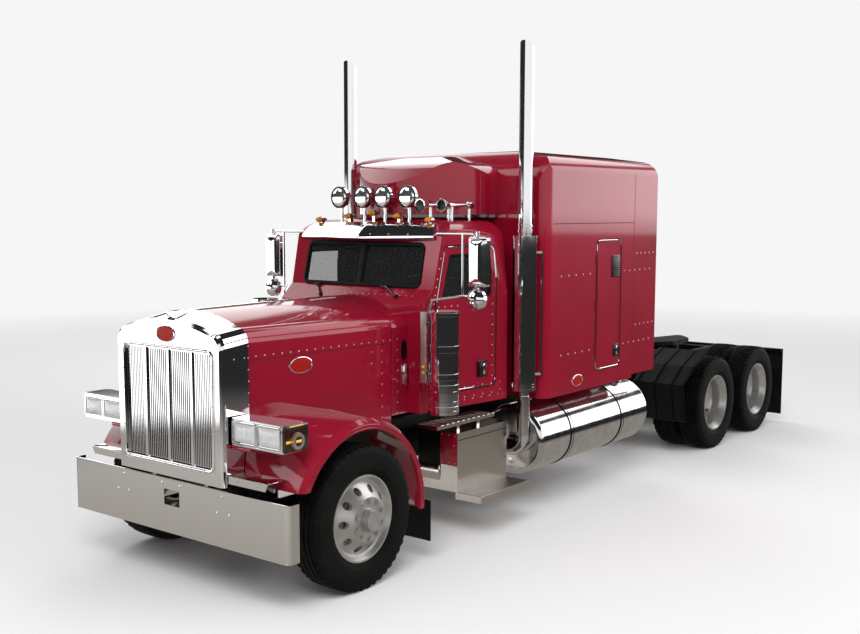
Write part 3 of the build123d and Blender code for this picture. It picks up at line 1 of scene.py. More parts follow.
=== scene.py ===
import bmesh
import bpy
import numpy as np
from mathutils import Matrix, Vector
from mathutils.bvhtree import BVHTree

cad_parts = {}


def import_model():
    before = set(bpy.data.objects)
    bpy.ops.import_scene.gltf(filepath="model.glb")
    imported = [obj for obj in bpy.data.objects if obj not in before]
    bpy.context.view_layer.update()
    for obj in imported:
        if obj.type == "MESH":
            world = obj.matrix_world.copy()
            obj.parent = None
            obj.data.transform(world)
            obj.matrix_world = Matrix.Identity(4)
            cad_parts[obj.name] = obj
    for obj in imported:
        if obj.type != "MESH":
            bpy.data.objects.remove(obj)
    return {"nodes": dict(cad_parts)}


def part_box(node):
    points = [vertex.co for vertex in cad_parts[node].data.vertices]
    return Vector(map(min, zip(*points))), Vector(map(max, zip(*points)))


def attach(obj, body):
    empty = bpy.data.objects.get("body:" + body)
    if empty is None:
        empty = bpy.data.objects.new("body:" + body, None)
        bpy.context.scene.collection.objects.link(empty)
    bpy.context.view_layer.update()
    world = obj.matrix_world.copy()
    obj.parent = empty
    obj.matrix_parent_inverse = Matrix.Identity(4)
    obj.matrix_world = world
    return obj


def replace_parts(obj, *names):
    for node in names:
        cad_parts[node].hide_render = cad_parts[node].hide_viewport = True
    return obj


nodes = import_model()["nodes"]
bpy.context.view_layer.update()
scene = bpy.context.scene

# ------------------------------------------------------------------ floor, light and camera
# A plain pale studio: a matte floor that runs out of sight, a soft white surround, and round
# about it, for mirrors only, a dim room with white panels and a warm grey floor to reflect.
def linear(hex_colour):
    """sRGB hex to linear RGBA: each channel is unbent by the sRGB curve."""
    c = np.array([int(hex_colour[i:i + 2], 16) for i in (1, 3, 5)]) / 255
    c = np.where(c <= 0.04045, c / 12.92, ((c + 0.055) / 1.055) ** 2.4)
    return (*c.tolist(), 1.0)


def add(tree, kind, links=(), values=(), **settings):
    """One node with its settings, its plain input values and its incoming links, by socket name or number."""
    item = tree.nodes.new("ShaderNode" + kind)
    for key, value in settings.items():
        setattr(item, key, value)
    for key, value in dict(values).items():
        item.inputs[key].default_value = value
    for key, source in dict(links).items():
        tree.links.new(source, item.inputs[key])
    return item


def bare_tree(owner):
    """The empty node tree of a material or a world."""
    owner.use_nodes = True
    owner.node_tree.nodes.clear()
    return owner.node_tree


def surface(name, values, links):
    """A Principled material: plain values on its sockets, and links worked out from object coordinates."""
    material = bpy.data.materials.new(name)
    tree = bare_tree(material)
    position = add(tree, "TexCoord").outputs["Object"]
    shader = add(tree, "BsdfPrincipled", links(tree, position), values)
    add(tree, "OutputMaterial", {"Surface": shader.outputs[0]})
    return material


def noise(tree, position, size, detail=3.0, stretch=(1, 1, 1)):
    """Noise whose largest blobs are size metres wide, drawn out along an axis by dividing its scale there."""
    turned = add(tree, "Mapping", {"Vector": position}, {"Scale": tuple(1 / (size * s) for s in stretch)})
    item = add(tree, "TexNoise", {"Vector": turned.outputs[0]}, {"Scale": 1.0, "Detail": detail})
    return item.outputs["Fac"]


def ramp(tree, value, stops):
    """A colour ramp through (place, hex colour) stops."""
    item = add(tree, "ValToRGB", {"Fac": value})
    bar = item.color_ramp
    while len(bar.elements) < len(stops):
        bar.elements.new(0.5)
    for element, (place, colour) in zip(bar.elements, stops):
        element.position, element.color = place, linear(colour)
    return item.outputs["Color"]


def spread(tree, value, low, high, start=0.0, end=1.0):
    """A value from start..end carried to low..high."""
    return add(tree, "MapRange", {"Value": value},
               {"From Min": start, "From Max": end, "To Min": low, "To Max": high}).outputs["Result"]


def reckon(tree, operation, a, b=None):
    """One step of arithmetic on sockets or plain numbers."""
    item = add(tree, "Math", operation=operation)
    for number, value in enumerate((a, b)):
        if isinstance(value, (int, float)):
            item.inputs[number].default_value = value
        elif value is not None:
            tree.links.new(value, item.inputs[number])
    return item.outputs[0]


def times(tree, a, b):
    """The product of two sockets or numbers."""
    return reckon(tree, "MULTIPLY", a, b)


def turned_from(tree, bearing, middle):
    """The cosine of the turn between a bearing and a fixed middle, both in radians."""
    return reckon(tree, "COSINE", reckon(tree, "SUBTRACT", bearing, float(middle)))


def tinted(tree, amount, colour, tint):
    """A colour with a tint laid over it by an amount of 0..1."""
    item = add(tree, "Mix", {0: amount, 6: colour}, data_type="RGBA")
    item.inputs[7].default_value = linear(tint)
    return item.outputs[2]


def bump(tree, height, depth):
    """Bump of that depth in metres from a height of 0..1."""
    return add(tree, "Bump", {"Height": height}, {"Distance": depth}).outputs["Normal"]


def apart(tree, vector):
    """A vector's X, Y and Z."""
    return add(tree, "SeparateXYZ", {"Vector": vector}).outputs


def glow(tree, colour, strength=1.0, kind="Emission", **links):
    """An even light of a hex colour, or of what its sockets are linked to."""
    return add(tree, kind, links, {"Color": linear(colour), "Strength": strength}).outputs[0]


def either(tree, amount, one, other):
    """One shader, or the other where the amount is 1."""
    return add(tree, "MixShader", {0: amount, 1: one, 2: other}).outputs[0]


FLOOR_HALF = 120.0
BACKDROP, WHITE, CHARCOAL = "#f6f6f6", "#ffffff", "#292929"
FLOOR_IN_MIRRORS, FLOOR_AHEAD = "#958f87", "#c6c1ba"
WALL_FACES = np.radians(173)            # bearing of the white wall that mirrors see
WALL_EDGE = float(np.cos(np.radians(73)))
PANEL_LIGHT, GLOOM = 2.6, 0.022         # a white panel's strength, and that of the room between panels
floor_matte = bpy.data.materials.new("studio_floor_matte")
tree = bare_tree(floor_matte)
shape = add(tree, "NewGeometry").outputs
ray = add(tree, "LightPath").outputs
away = add(tree, "VectorMath", {0: shape["Position"]}, operation="LENGTH").outputs["Value"]
far = times(tree, ray["Is Camera Ray"], spread(tree, away, 0.0, 1.0, 7.0, 22.0))
cloth = add(tree, "BsdfDiffuse", values={"Color": linear("#f0f0f0")})
near = either(tree, far, cloth.outputs[0], glow(tree, BACKDROP))
inward = apart(tree, shape["Incoming"])
heading = reckon(tree, "ARCTAN2", times(tree, inward["Y"], -1.0), times(tree, inward["X"], -1.0))
bearing = turned_from(tree, heading, WALL_FACES)
drop = reckon(tree, "ARCSINE", inward["Z"])            # how steeply the mirrored ray comes down
wall = times(tree, spread(tree, bearing, 0.0, 1.0, WALL_EDGE, WALL_EDGE + 0.03),
             spread(tree, drop, 1.0, 0.0, *np.radians((10.2, 11.2))))
beyond = spread(tree, drop, 1.0, 0.0, *np.radians((9.0, 13.0)))
ahead = spread(tree, apart(tree, shape["Position"])["Y"], 1.0, 0.0, -9.0, -4.0)
worn = ramp(tree, ahead, [(0.0, FLOOR_IN_MIRRORS), (1.0, FLOOR_AHEAD)])
ground = glow(tree, WHITE, Color=tinted(tree, beyond, worn, CHARCOAL))
mirrored = either(tree, wall, ground, glow(tree, WHITE, PANEL_LIGHT))
add(tree, "OutputMaterial", {"Surface": either(tree, ray["Is Glossy Ray"], near, mirrored)})
floor_mesh = bpy.data.meshes.new("studio_floor")
floor_mesh.from_pydata([(x * FLOOR_HALF, y * FLOOR_HALF, 0) for x, y in ((-1, -1), (1, -1), (1, 1), (-1, 1))],
                       [], [(0, 1, 2, 3)])
floor_mesh.materials.append(floor_matte)
floor = bpy.data.objects.new("studio_floor", floor_mesh)
scene.collection.objects.link(floor)

# white panels in the room that mirrors see: azimuth from and to and elevation from and to, in degrees, and
# share of full light
PANELS = ((100, 246, -20, 1, 1.0), (127, 160, 10, 45, 0.75), (156, 215, 10, 48, 0.75),
          (226, 242, 17, 45, 1.0), (-95, 32, -1, 20, 0.38), (34, 110, -1, 20, 1.0), (40, 108, 26, 49, 1.0),
          (150, 168, 57, 66, 0.75), (-180, 180, 80, 90, 0.5))
world = scene.world = bpy.data.worlds.new("studio_surround")
tree = bare_tree(world)
way = apart(tree, add(tree, "TexCoord").outputs["Generated"])
azimuth = reckon(tree, "ARCTAN2", way["Y"], way["X"])
elevation = reckon(tree, "ARCSINE", way["Z"])
lit_panels = 0.0
for start, end, low, high, share in PANELS:
    middle, half = np.radians((start + end) / 2), np.radians((end - start) / 2)
    round_about = 1.0 if half > 3.1 else spread(tree, turned_from(tree, azimuth, middle), 0.0, 1.0,
                                                float(np.cos(half + 0.02)), float(np.cos(half - 0.03)))
    up = times(tree, spread(tree, elevation, 0.0, 1.0, *np.radians((low - 1, low + 1))),
               spread(tree, elevation, 1.0, 0.0, *np.radians((high - 1, high + 1))))
    lit_panels = reckon(tree, "MAXIMUM", times(tree, times(tree, up, round_about), share), lit_panels)
room = glow(tree, WHITE, kind="Background", Strength=spread(tree, lit_panels, GLOOM, PANEL_LIGHT))
dome = ramp(tree, spread(tree, way["Z"], 0.0, 1.0, -1.0, 1.0),
            [(0.0, "#a0a0a0"), (0.5, "#bcbcbc"), (0.6, "#dcdcdc"), (1.0, WHITE)])
lit = glow(tree, WHITE, 0.62, "Background", Color=dome)
ray = add(tree, "LightPath").outputs
seen = either(tree, ray["Is Glossy Ray"], lit, room)
sky = either(tree, ray["Is Camera Ray"], seen, glow(tree, BACKDROP, 1.0, "Background"))
add(tree, "OutputWorld", {"Surface": sky})

for name, place, aim, power in (("key", (7.0, -13.0, 12.0), (0, -1.5, 1.5), 1500),
                                ("side", (13.0, 2.0, 8.0), (0, 0.5, 1.5), 650),
                                ("back", (-9.0, 7.0, 10.0), (0, 0, 2.0), 500)):
    lamp = bpy.data.lights.new("softbox_" + name, "AREA")
    lamp.shape, lamp.size, lamp.energy = "SQUARE", 8.0, power
    holder = bpy.data.objects.new("softbox_" + name, lamp)
    holder.location = place
    holder.rotation_euler = (Vector(aim) - Vector(place)).to_track_quat("-Z", "Y").to_euler()
    holder.visible_glossy = False
    scene.collection.objects.link(holder)

lens = bpy.data.cameras.new("camera")
lens.sensor_width, lens.lens, lens.clip_end = 36.0, 45.34, 400
lens.shift_x, lens.shift_y = 0.0298, 0.0127
camera = scene.camera = bpy.data.objects.new("camera", lens)
camera.location = (6.3273, -9.7987, 2.8154)
camera.rotation_euler = (np.radians(90 - 6.07), 0, np.radians(38.8))
scene.collection.objects.link(camera)
scene.view_settings.view_transform = "Standard"


# ------------------------------------------------------------------ painted body panels
# Hood, fenders, cab and sleeper: aluminium sheet in one crimson two-pack enamel under clear
# lacquer. The eye sees a deep red, a faint orange peel and road dust low on the flanks.
def finish_nodes(material, *names):
    """Give CAD nodes a material in place of their plain one."""
    for name in names:
        node = nodes[name]
        if not node.material_slots:
            node.data.materials.append(material)
        for slot in node.material_slots:
            slot.material = material


def both(*stems):
    """Each name with _left and with _right."""
    return [stem + side for stem in stems for side in ("_left", "_right")]


def lacquer_links(tree, position):
    """Crimson that drifts a little over a metre, dust that thickens downwards, and 8 mm orange peel."""
    drift = ramp(tree, noise(tree, position, 1.1), [(0.3, "#820a22"), (0.7, "#920d2a")])
    low_down = spread(tree, apart(tree, position)["Z"], 0.0, 0.1, 1.3, 0.4)
    specks = times(tree, low_down, noise(tree, position, 0.18, 6.0))
    return {"Base Color": tinted(tree, specks, drift, "#8d7468"),
            "Roughness": spread(tree, specks, 0.36, 0.6),
            "Normal": bump(tree, noise(tree, position, 0.008, 1.0), 0.00005)}


def plain(name, links, sheen=0.5, values=()):
    """A material that is no metal, with its own level of reflection."""
    return surface(name, {"Metallic": 0.0, "Specular IOR Level": sheen, **dict(values)}, links)


LACQUER = {"Coat Roughness": 0.05, "IOR": 1.5}
crimson_lacquer = plain("crimson_enamel_lacquered", lacquer_links, 0.1, {"Coat Weight": 1.0, **LACQUER})
finish_nodes(crimson_lacquer, "hood", "fenders", "extenders")


# ------------------------------------------------------------------ chrome and polished metal
# Chromed steel on the nose, bumper, stacks, mirrors, visor and lamps; polished aluminium on
# wheels and tanks; linished stainless boxes and air cleaners.
def cloudy(cloud, stops, rough, grain, depth):
    """Colour and roughness that follow one cloudy noise, and a bump from a finer one; cloud and grain are
    (size, detail)."""
    def links(tree, position):
        haze = noise(tree, position, *cloud)
        return {"Base Color": ramp(tree, haze, stops), "Roughness": spread(tree, haze, *rough),
                "Normal": bump(tree, noise(tree, position, *grain), depth)}
    return links


def satin_links(tree, position):
    """Linished stainless: level scratches 1.5 mm apart."""
    lines = noise(tree, position, 0.0015, 2.0, (160, 60, 1))
    cloud = noise(tree, position, 0.35, 4.0)
    return {"Base Color": ramp(tree, cloud, [(0.25, "#d2cdc6"), (0.75, "#dfdbd5")]),
            "Roughness": spread(tree, lines, 0.14, 0.26), "Normal": bump(tree, lines, 0.00002)}


def hazed(size, low, high, detail=3.0):
    """Roughness that drifts between two values in blotches of that size."""
    return lambda tree, position: {"Roughness": spread(tree, noise(tree, position, size, detail), low, high)}


def mottled(name, colours, sizes, rough, sheen=0.5, places=(0.35, 0.65), **values):
    """A material whose colour and roughness drift, each between two values and in blotches of its size."""
    def links(tree, position):
        return {"Base Color": ramp(tree, noise(tree, position, sizes[0]), list(zip(places, colours))),
                **hazed(sizes[1], *rough)(tree, position)}
    return plain(name, links, sheen, {key.replace("_", " "): value for key, value in values.items()})


def metal(name, links, shine=1.0, colour=None):
    """A metal, with one plain base colour or its own links for it."""
    return surface(name, {"Metallic": shine, **({"Base Color": linear(colour)} if colour else {})}, links)


wheel_alloy = metal("forged_wheel_aluminium", cloudy((0.1, 6.0), [(0.3, "#b9b7b4"), (0.7, "#d0cecb")],
                                                     (0.3, 0.44), (0.0015, 2.0), 0.00002), 0.85)
polished_alloy = metal("polished_aluminium", cloudy((0.12, 5.0), [(0.3, "#d4d4d6"), (0.7, "#e8e8ea")],
                                                    (0.06, 0.13), (0.002, 2.0), 0.00001))
linished_steel = metal("linished_stainless", satin_links)
mirror_chrome = metal("chromed_steel", hazed(0.25, 0.02, 0.08, 4.0), colour="#efeff1")
rivet_metal = metal("aluminium_rivets", hazed(0.05, 0.2, 0.4), colour="#d9d6d2")
silvered = metal("silvered_reflector", hazed(0.02, 0.08, 0.16), colour="#e8e8e4")
mirror_glass = metal("silvered_mirror_glass", hazed(0.1, 0.01, 0.03), colour="#dfe3e4")
finish_nodes(mirror_chrome, "crown", "grille", "bumper", "visor", "exhausts", "mirrors", "horns", "headlamps",
             "roof_lamps", "air_cleaners")
finish_nodes(polished_alloy, "fuel_tanks")
finish_nodes(wheel_alloy, *both("steer_wheel", "drive_wheel_1", "drive_wheel_2"))
finish_nodes(linished_steel, "step_boxes")


# ------------------------------------------------------------------ chassis finishes
# Rails, springs, guards and hangers in black chassis enamel; axles and engine in dark cast
# iron; flaps and bellows in rubber. All carry a little dry road dust.
def dusty(dark, dust, rough, grain):
    """A dark finish with pale dust in blotches, and a surface grain of that many metres."""
    return cloudy((0.2, 7.0), [(0.45, dark), (0.85, dust)], (rough, min(rough + 0.25, 1.0)),
                  (grain, 3.0), grain * 0.06)


def core_links(tree, position):
    """Upright tubes 8 mm apart with fine fins between, greyed by dust."""
    place = apart(tree, position)
    tubes, fins = (spread(tree, reckon(tree, "SINE", times(tree, place[axis], pitch)), 0.0, 1.0, -1.0, 1.0)
                   for axis, pitch in (("X", 785.0), ("Z", 2500.0)))
    return {"Base Color": ramp(tree, noise(tree, position, 0.15, 5.0), [(0.4, "#1c1c1d"), (0.8, "#34332f")]),
            "Roughness": spread(tree, fins, 0.4, 0.6),
            "Normal": bump(tree, reckon(tree, "ADD", tubes, times(tree, fins, 0.3)), 0.002)}


radiator_core = metal("radiator_core_fins", core_links, 0.7)
cast_iron = metal("sooty_cast_iron", dusty("#1c1c1e", "#3a3836", 0.5, 0.006), 0.6)
greased_plate = metal("greased_steel_plate", dusty("#1b1a18", "#4a4540", 0.3, 0.01), 0.8)
chassis_enamel = plain("black_chassis_enamel", dusty("#060606", "#121211", 0.32, 0.004), 0.2)
moulded_rubber = plain("moulded_black_rubber", dusty("#080808", "#141413", 0.55, 0.003), 0.2)
grained_vinyl = plain("grained_dark_vinyl", dusty("#303034", "#424248", 0.5, 0.0025), 0.05)
finish_nodes(radiator_core, "radiator")
finish_nodes(chassis_enamel, "frame_rails", "crossmembers", "suspension", "quarter_fenders", "rear_hanger",
             "fifth_wheel_base", "grille_screen")
finish_nodes(cast_iron, "front_axle", "drive_axles", "engine", *both("knuckle"))
finish_nodes(moulded_rubber, "mud_flaps", "boot", *both("steer_tyre", "drive_tyres_1", "drive_tyres_2"))
finish_nodes(greased_plate, "fifth_wheel_plate")
finish_nodes(grained_vinyl, "dashboard", "seats")

# plastics, lenses and seals that the pieces below share
seal_black = plain("epdm_seal_rubber", dusty("#070707", "#111111", 0.5, 0.002), 0.2)
seam_black = plain("seam_sealant", hazed(0.02, 0.5, 0.8), values={"Base Color": linear("#160307")})
gloss_black = mottled("gloss_black_plastic", ("#060607", "#0e0e10"), (0.05, 0.02), (0.18, 0.35), 0.4,
                      (0.3, 0.7))


def acrylic(name, colours, sizes=(0.02, 0.004), rough=(0.15, 0.3), coat=0.6, **values):
    """A coloured lens plastic with a clear face."""
    return mottled(name, colours, sizes, rough, IOR=1.49, Coat_Weight=coat, **values)


amber_lens = acrylic("amber_acrylic", ("#a8620a", "#d89414"))
amber_bright = acrylic("amber_reflector_bar", ("#f2a21c", "#ffc638"), (0.01, 0.004), (0.2, 0.35), 0.5)
smoked_amber = acrylic("smoked_amber_lens", ("#160704", "#2c1006"), (0.05, 0.01), coat=0.8,
                       Coat_Roughness=0.04)
red_lens = acrylic("red_acrylic", ("#7a0606", "#a00c08"))
badge_enamel = mottled("scarlet_vitreous_enamel", ("#8c120e", "#a41b12"), (0.03, 0.01), (0.25, 0.4), 0.15)


# ------------------------------------------------------------------ glazing
# Tinted laminated glass, 8 mm thick, in the windscreen and the doors.
tinted_glass = plain("tinted_safety_glass", hazed(0.2, 0.01, 0.05), 0.0,
                     {"Base Color": linear("#38393a"), "Alpha": 0.26, "IOR": 1.5})
finish_nodes(tinted_glass, "windscreen", *both("door_glass"))


# ------------------------------------------------------------------ pieces and plain forms
# Every made part is a form: an array of points in the truck's frame, and faces over them.
def piece(name, form, body, material, crease=35.0):
    """A piece from a form, riding on a body. Doubled points are joined and every face is turned outward;
    edges sharper than crease degrees stay sharp."""
    points, faces = form
    mesh = bpy.data.meshes.new(name)
    points = np.asarray(points, float).reshape(-1, 3)
    mesh.from_pydata(points.tolist(), [], [list(map(int, face)) for face in faces])
    work = bmesh.new()
    work.from_mesh(mesh)
    bmesh.ops.remove_doubles(work, verts=work.verts, dist=1e-5)
    bmesh.ops.recalc_face_normals(work, faces=work.faces)
    work.to_mesh(mesh)
    work.free()
    mesh.materials.append(material)
    mesh.shade_smooth()
    mesh.set_sharp_from_angle(angle=np.radians(crease))
    made = bpy.data.objects.new(name, mesh)
    scene.collection.objects.link(made)
    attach(made, body)
    return made


def chrome(name, form, body="chassis"):
    """A chromed piece."""
    return piece(name, form, body, mirror_chrome)


def plastic(name, form, body="chassis"):
    """A piece of gloss black plastic."""
    return piece(name, form, body, gloss_black)


def rubber(name, form, body="chassis"):
    """A piece of black seal rubber."""
    return piece(name, form, body, seal_black)


def net(rows, columns, wrap_rows=True, wrap_columns=True):
    """Quads over a grid of rows x columns points, closed round either way."""
    r = np.arange(rows if wrap_rows else rows - 1)
    c = np.arange(columns if wrap_columns else columns - 1)
    r, c = np.meshgrid(r, c, indexing="ij")
    r2, c2 = (r + 1) % rows, (c + 1) % columns
    corners = r * columns + c, r2 * columns + c, r2 * columns + c2, r * columns + c2
    return np.stack(corners, -1).reshape(-1, 4)


def joined(forms):
    """Several forms as one."""
    points, faces, start = [], [], 0
    for some, corners in forms:
        some = np.asarray(some, float).reshape(-1, 3)
        points.append(some)
        faces += [tuple(int(i) + start for i in face) for face in corners]
        start += len(some)
    return np.concatenate(points), faces


def twin(*forms):
    """Forms as one, with their mirror image on the truck's other side."""
    points, faces = joined(forms)
    return joined([(points, faces), (points * (-1, 1, 1), faces)])


def skirted(front, back):
    """Two grids of points of one shape as the faces of a sheet, with a strip round their edge."""
    rows, columns = front.shape[:2]
    quads = net(rows, columns, False, False)
    edge = [(0, k) for k in range(columns)] + [(k, columns - 1) for k in range(1, rows)]
    edge += [(rows - 1, k) for k in range(columns - 2, -1, -1)] + [(k, 0) for k in range(rows - 2, 0, -1)]
    rim, count = [a * columns + b for a, b in edge], rows * columns
    sides = [(rim[k - 1], rim[k], rim[k] + count, rim[k - 1] + count) for k in range(len(rim))]
    return (np.concatenate([front.reshape(-1, 3), back.reshape(-1, 3)]),
            quads.tolist() + (quads + count).tolist() + sides)


def compass(steps):
    """The cosines and sines of so many even steps round a circle."""
    turn = np.linspace(0, 2 * np.pi, steps, endpoint=False)
    return np.cos(turn), np.sin(turn)


def square_to(axis):
    """An axis as a unit vector, and two unit directions square to it and to each other."""
    axis = np.asarray(axis, float) / np.linalg.norm(axis)
    side = np.cross(axis, (0, 0, 1) if abs(axis[2]) < 0.9 else (0, 1, 0))
    side /= np.linalg.norm(side)
    return axis, side, np.cross(axis, side)


OUTWARD, ASTERN, UP = np.eye(3)         # the ways out to the truck's left, back and up
AHEAD = -ASTERN


def lathe(profile, at, axis, steps=32, shut=True):
    """A form turned about an axis through at. The profile's rows are (distance along the axis, radius). Shut,
    it gets a flat end wherever it stops away from radius 0; otherwise the profile is closed into a ring."""
    axis, u, v = square_to(axis)
    rows = [(d, r) for d, r in profile]
    if shut:
        ends = [[(d, 0.0)] if r > 0 else [] for d, r in (rows[0], rows[-1])]
        rows = ends[0] + rows + ends[1]
    cosines, sines = compass(steps)
    ring = cosines[:, None] * u + sines[:, None] * v
    points = np.array([np.asarray(at, float) + axis * d + ring * r for d, r in rows])
    return points, net(len(rows), steps, not shut)


def brick(x, y, z, bevel=0.003, segments=2):
    """A block between two x, two y and two z values with rounded edges."""
    work = bmesh.new()
    bmesh.ops.create_cube(work, size=1.0)
    for vertex in work.verts:
        vertex.co = Vector([(a + b) / 2 + c * (b - a) for (a, b), c in zip((sorted(x), y, z), vertex.co)])
    return eased(work, work.edges[:], bevel, segments)


def eased(work, edges, bevel, segments=2):
    """The form of a bmesh whose given edges are rounded."""
    bmesh.ops.bevel(work, geom=edges, offset=bevel, segments=segments, profile=0.5, affect="EDGES")
    work.verts.index_update()
    points, faces = [tuple(v.co) for v in work.verts], [[v.index for v in face.verts] for face in work.faces]
    work.free()
    return points, faces


def slab(outline, origin, u, v, thickness, bevel=0.002):
    """A plate with rounded edges: its outline runs along u and v from origin, its thickness along u x v."""
    u, v = Vector(u).normalized(), Vector(v).normalized()
    lift = u.cross(v) * thickness
    work = bmesh.new()
    rim = [work.verts.new(Vector(origin) + u * float(a) + v * float(b)) for a, b in outline]
    top = [work.verts.new(vertex.co + lift) for vertex in rim]
    work.faces.new(rim)
    work.faces.new(top[::-1])
    for k in range(len(rim)):
        work.faces.new((rim[k - 1], rim[k], top[k], top[k - 1]))
    return eased(work, [e for e in work.edges if e.calc_face_angle(0) > 0.6], bevel)


def headings(path, closed):
    """The way a path runs at each of its points."""
    return (np.roll(path, -1, axis=0) - np.roll(path, 1, axis=0)) if closed else np.gradient(path, axis=0)


def pipe(path, radius, sides=12, closed=False):
    """A round bar along a path of points; an open one has flat ends."""
    path = np.asarray(path, float)
    along = headings(path, closed)
    along /= np.linalg.norm(along, axis=1)[:, None]
    u = square_to(along[0])[1]
    cosines, sines = compass(sides)
    rows = []
    for place, way in zip(path, along):
        u = u - way * (u @ way)
        u /= np.linalg.norm(u)
        rows.append(place + (cosines[:, None] * u + sines[:, None] * np.cross(way, u)) * radius)
    faces = net(len(path), sides, closed).tolist()
    if not closed:
        faces += [list(range(sides)), list(range((len(path) - 1) * sides, len(path) * sides))]
    return np.array(rows), faces


def rounded(corners, steps=6):
    """A closed outline through (u, v, radius) corners, each turned by an arc of steps points."""
    made, count = [], len(corners)
    for k, (u, v, radius) in enumerate(corners):
        here = np.array((u, v), float)
        before = np.array(corners[k - 1][:2], float) - here
        after = np.array(corners[(k + 1) % count][:2], float) - here
        before, after = before / np.linalg.norm(before), after / np.linalg.norm(after)
        half = np.arccos(np.clip(before @ after, -1, 1)) / 2
        start, end = here + before * radius / np.tan(half), here + after * radius / np.tan(half)
        middle = here + (before + after) / np.linalg.norm(before + after) * radius / np.sin(half)
        arc = np.pi - 2 * half
        start, end = (start - middle) / np.sin(arc), (end - middle) / np.sin(arc)
        made += [middle + start * np.sin((1 - t) * arc) + end * np.sin(t * arc)
                 for t in np.linspace(0, 1, steps)]
    return np.array(made)


def box_line(u, v, corner, steps=6):
    """The rounded outline of a rectangle between two u and two v values."""
    return rounded([(u[a], v[b], corner) for a, b in ((0, 0), (0, 1), (1, 1), (1, 0))], steps)


def dense(path, step, closed=True):
    """The path with extra points so that none lie further apart than step."""
    path = np.asarray(path, float)
    ends = np.roll(path, -1, axis=0) if closed else path[1:]
    made = []
    for a, b in zip(path, ends):
        count = max(int(np.ceil(np.linalg.norm(b - a) / step)), 1)
        made += [a + (b - a) * t for t in np.arange(count) / count]
    return np.array(made if closed else made + [path[-1]])


def bead(spots, width, height, closed=True, sink=0.001):
    """A low rounded strip that follows (place, outward direction) spots along a skin."""
    places, normals = (np.array(column) for column in zip(*spots))
    sideways = np.cross(normals, headings(places, closed))
    sideways /= np.linalg.norm(sideways, axis=1)[:, None]
    section = [(-0.5, -sink), (-0.46, height * 0.55), (-0.25, height * 0.95), (0.25, height * 0.95),
               (0.46, height * 0.55), (0.5, -sink)]
    points = np.array([places + sideways * width * u + normals * v for u, v in section])
    faces, count = net(len(section), len(places), True, closed).tolist(), len(places)
    if not closed:
        faces += [[k * count + end for k in range(len(section))] for end in (0, count - 1)]
    return points, faces


def facing(way, places):
    """The places as (place, outward direction) spots that all look one way."""
    return [(np.array(place, float), way) for place in places]


def studs(spots, radius=0.008, height=0.003):
    """Low domes on (place, outward direction) spots."""
    dome = [(-0.001, radius), (0.0, radius), (height * 0.6, radius * 0.8), (height, radius * 0.35)]
    return joined([lathe(dome, place, normal, 10) for place, normal in spots])


def rivets(name, form, body="chassis"):
    """A piece of rivet or bolt heads."""
    return piece(name, form, body, rivet_metal)


def oval(spot, width, height):
    """A domed upright oval plate on a spot and the raised rim round it, as two forms."""
    place, normal = spot
    up = UP - normal * normal[2]
    up /= np.linalg.norm(up)
    cosines, sines = compass(48)
    ring = cosines[:, None] * np.cross(up, normal) * width / 2 + sines[:, None] * up * height / 2

    def rows(table):
        return np.array([place + ring * scale + normal * lift for scale, lift in table])
    dome = [(0.93, -0.002), (0.93, 0.004), (0.8, 0.0055), (0.74, 0.0052), (0.45, 0.0072), (0.0, 0.008)]
    rim = [(0.9, -0.002), (0.9, 0.005), (0.94, 0.009), (1.0, 0.008), (1.03, 0.003), (1.03, -0.002)]
    return (rows(dome), net(len(dome), 48, False)), (rows(rim), net(len(rim), 48))


# ------------------------------------------------------------------ places on the CAD's skin
NOSE_Y = float(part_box("crown")[0][1])
BUMPER_Y = float(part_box("bumper")[0][1])
FAR_OUT = 2.5              # where rays towards a flank start
skins = {}


def skin_of(thing):
    """A tree for rays over an object's mesh."""
    mesh = thing.data
    return BVHTree.FromPolygons([v.co for v in mesh.vertices], [p.vertices for p in mesh.polygons])


def hit(names, start, direction):
    """Where a ray first meets the skin of a node, or of several: the place and the outward direction."""
    found = []
    for node in (names,) if isinstance(names, str) else names:
        if node not in skins:
            skins[node] = skin_of(nodes[node])
        place, normal, _, far = skins[node].ray_cast(Vector(start), Vector(direction).normalized())
        if place is not None:
            found.append((far, tuple(place), tuple(normal)))
    _, place, normal = min(found)
    return np.array(place), np.array(normal) * (1 if np.dot(normal, direction) < 0 else -1)


def flank(node, places, side=1):
    """Spots on a node's outer side at (y, z) places."""
    return [hit(node, (side * FAR_OUT, y, z), (-side, 0, 0)) for y, z in places]


def behind_bumper(places):
    """The (y, z) places with y measured from the bumper's front."""
    return [(BUMPER_Y + y, z) for y, z in places]


def rows_on(node, rows, side=1):
    """Even spots on a node's outer side along rows of (start, end, count), measured behind the bumper."""
    return [spot for start, end, count in rows
            for spot in flank(node, behind_bumper(np.linspace(start, end, count)), side)]


def line_on(node, outline, width, height, side=1, closed=True):
    """A bead along a (y, z) outline behind the bumper on a node's outer side."""
    return bead(flank(node, behind_bumper(dense(outline, 0.06, closed)), side), width, height, closed)


SIDES = (("left", 1), ("right", -1))


# ------------------------------------------------------------------ tyres
# Truck tyres of size 11R24.5: black rubber with a rib tread in front and a block tread on the
# drive axles, moulded rings on the sidewalls, and a little dust in blotches.
TYRE_R, TREAD_HALF, TYRE_HALF = 0.551, 0.116, 0.1395
TREAD_DEPTH = 0.015
STEPS = 288                # stations round a tyre, six to each pitch of the tread
# distance from the tyre's centre plane, and radius, from the shoulder to the bead
SIDEWALL = [(0.119, 0.543), (0.1225, 0.533), (0.1262, 0.518), (0.1305, 0.506), (0.1325, 0.503),
            (0.1352, 0.499), (0.136, 0.48), (0.1387, 0.456), (0.1395, 0.43), (0.1383, 0.408),
            (0.1345, 0.386), (0.1352, 0.382), (0.132, 0.377), (0.1265, 0.36), (0.119, 0.346),
            (0.113, 0.337), (0.104, 0.335), (0.103, 0.32), (0.1, 0.312)]


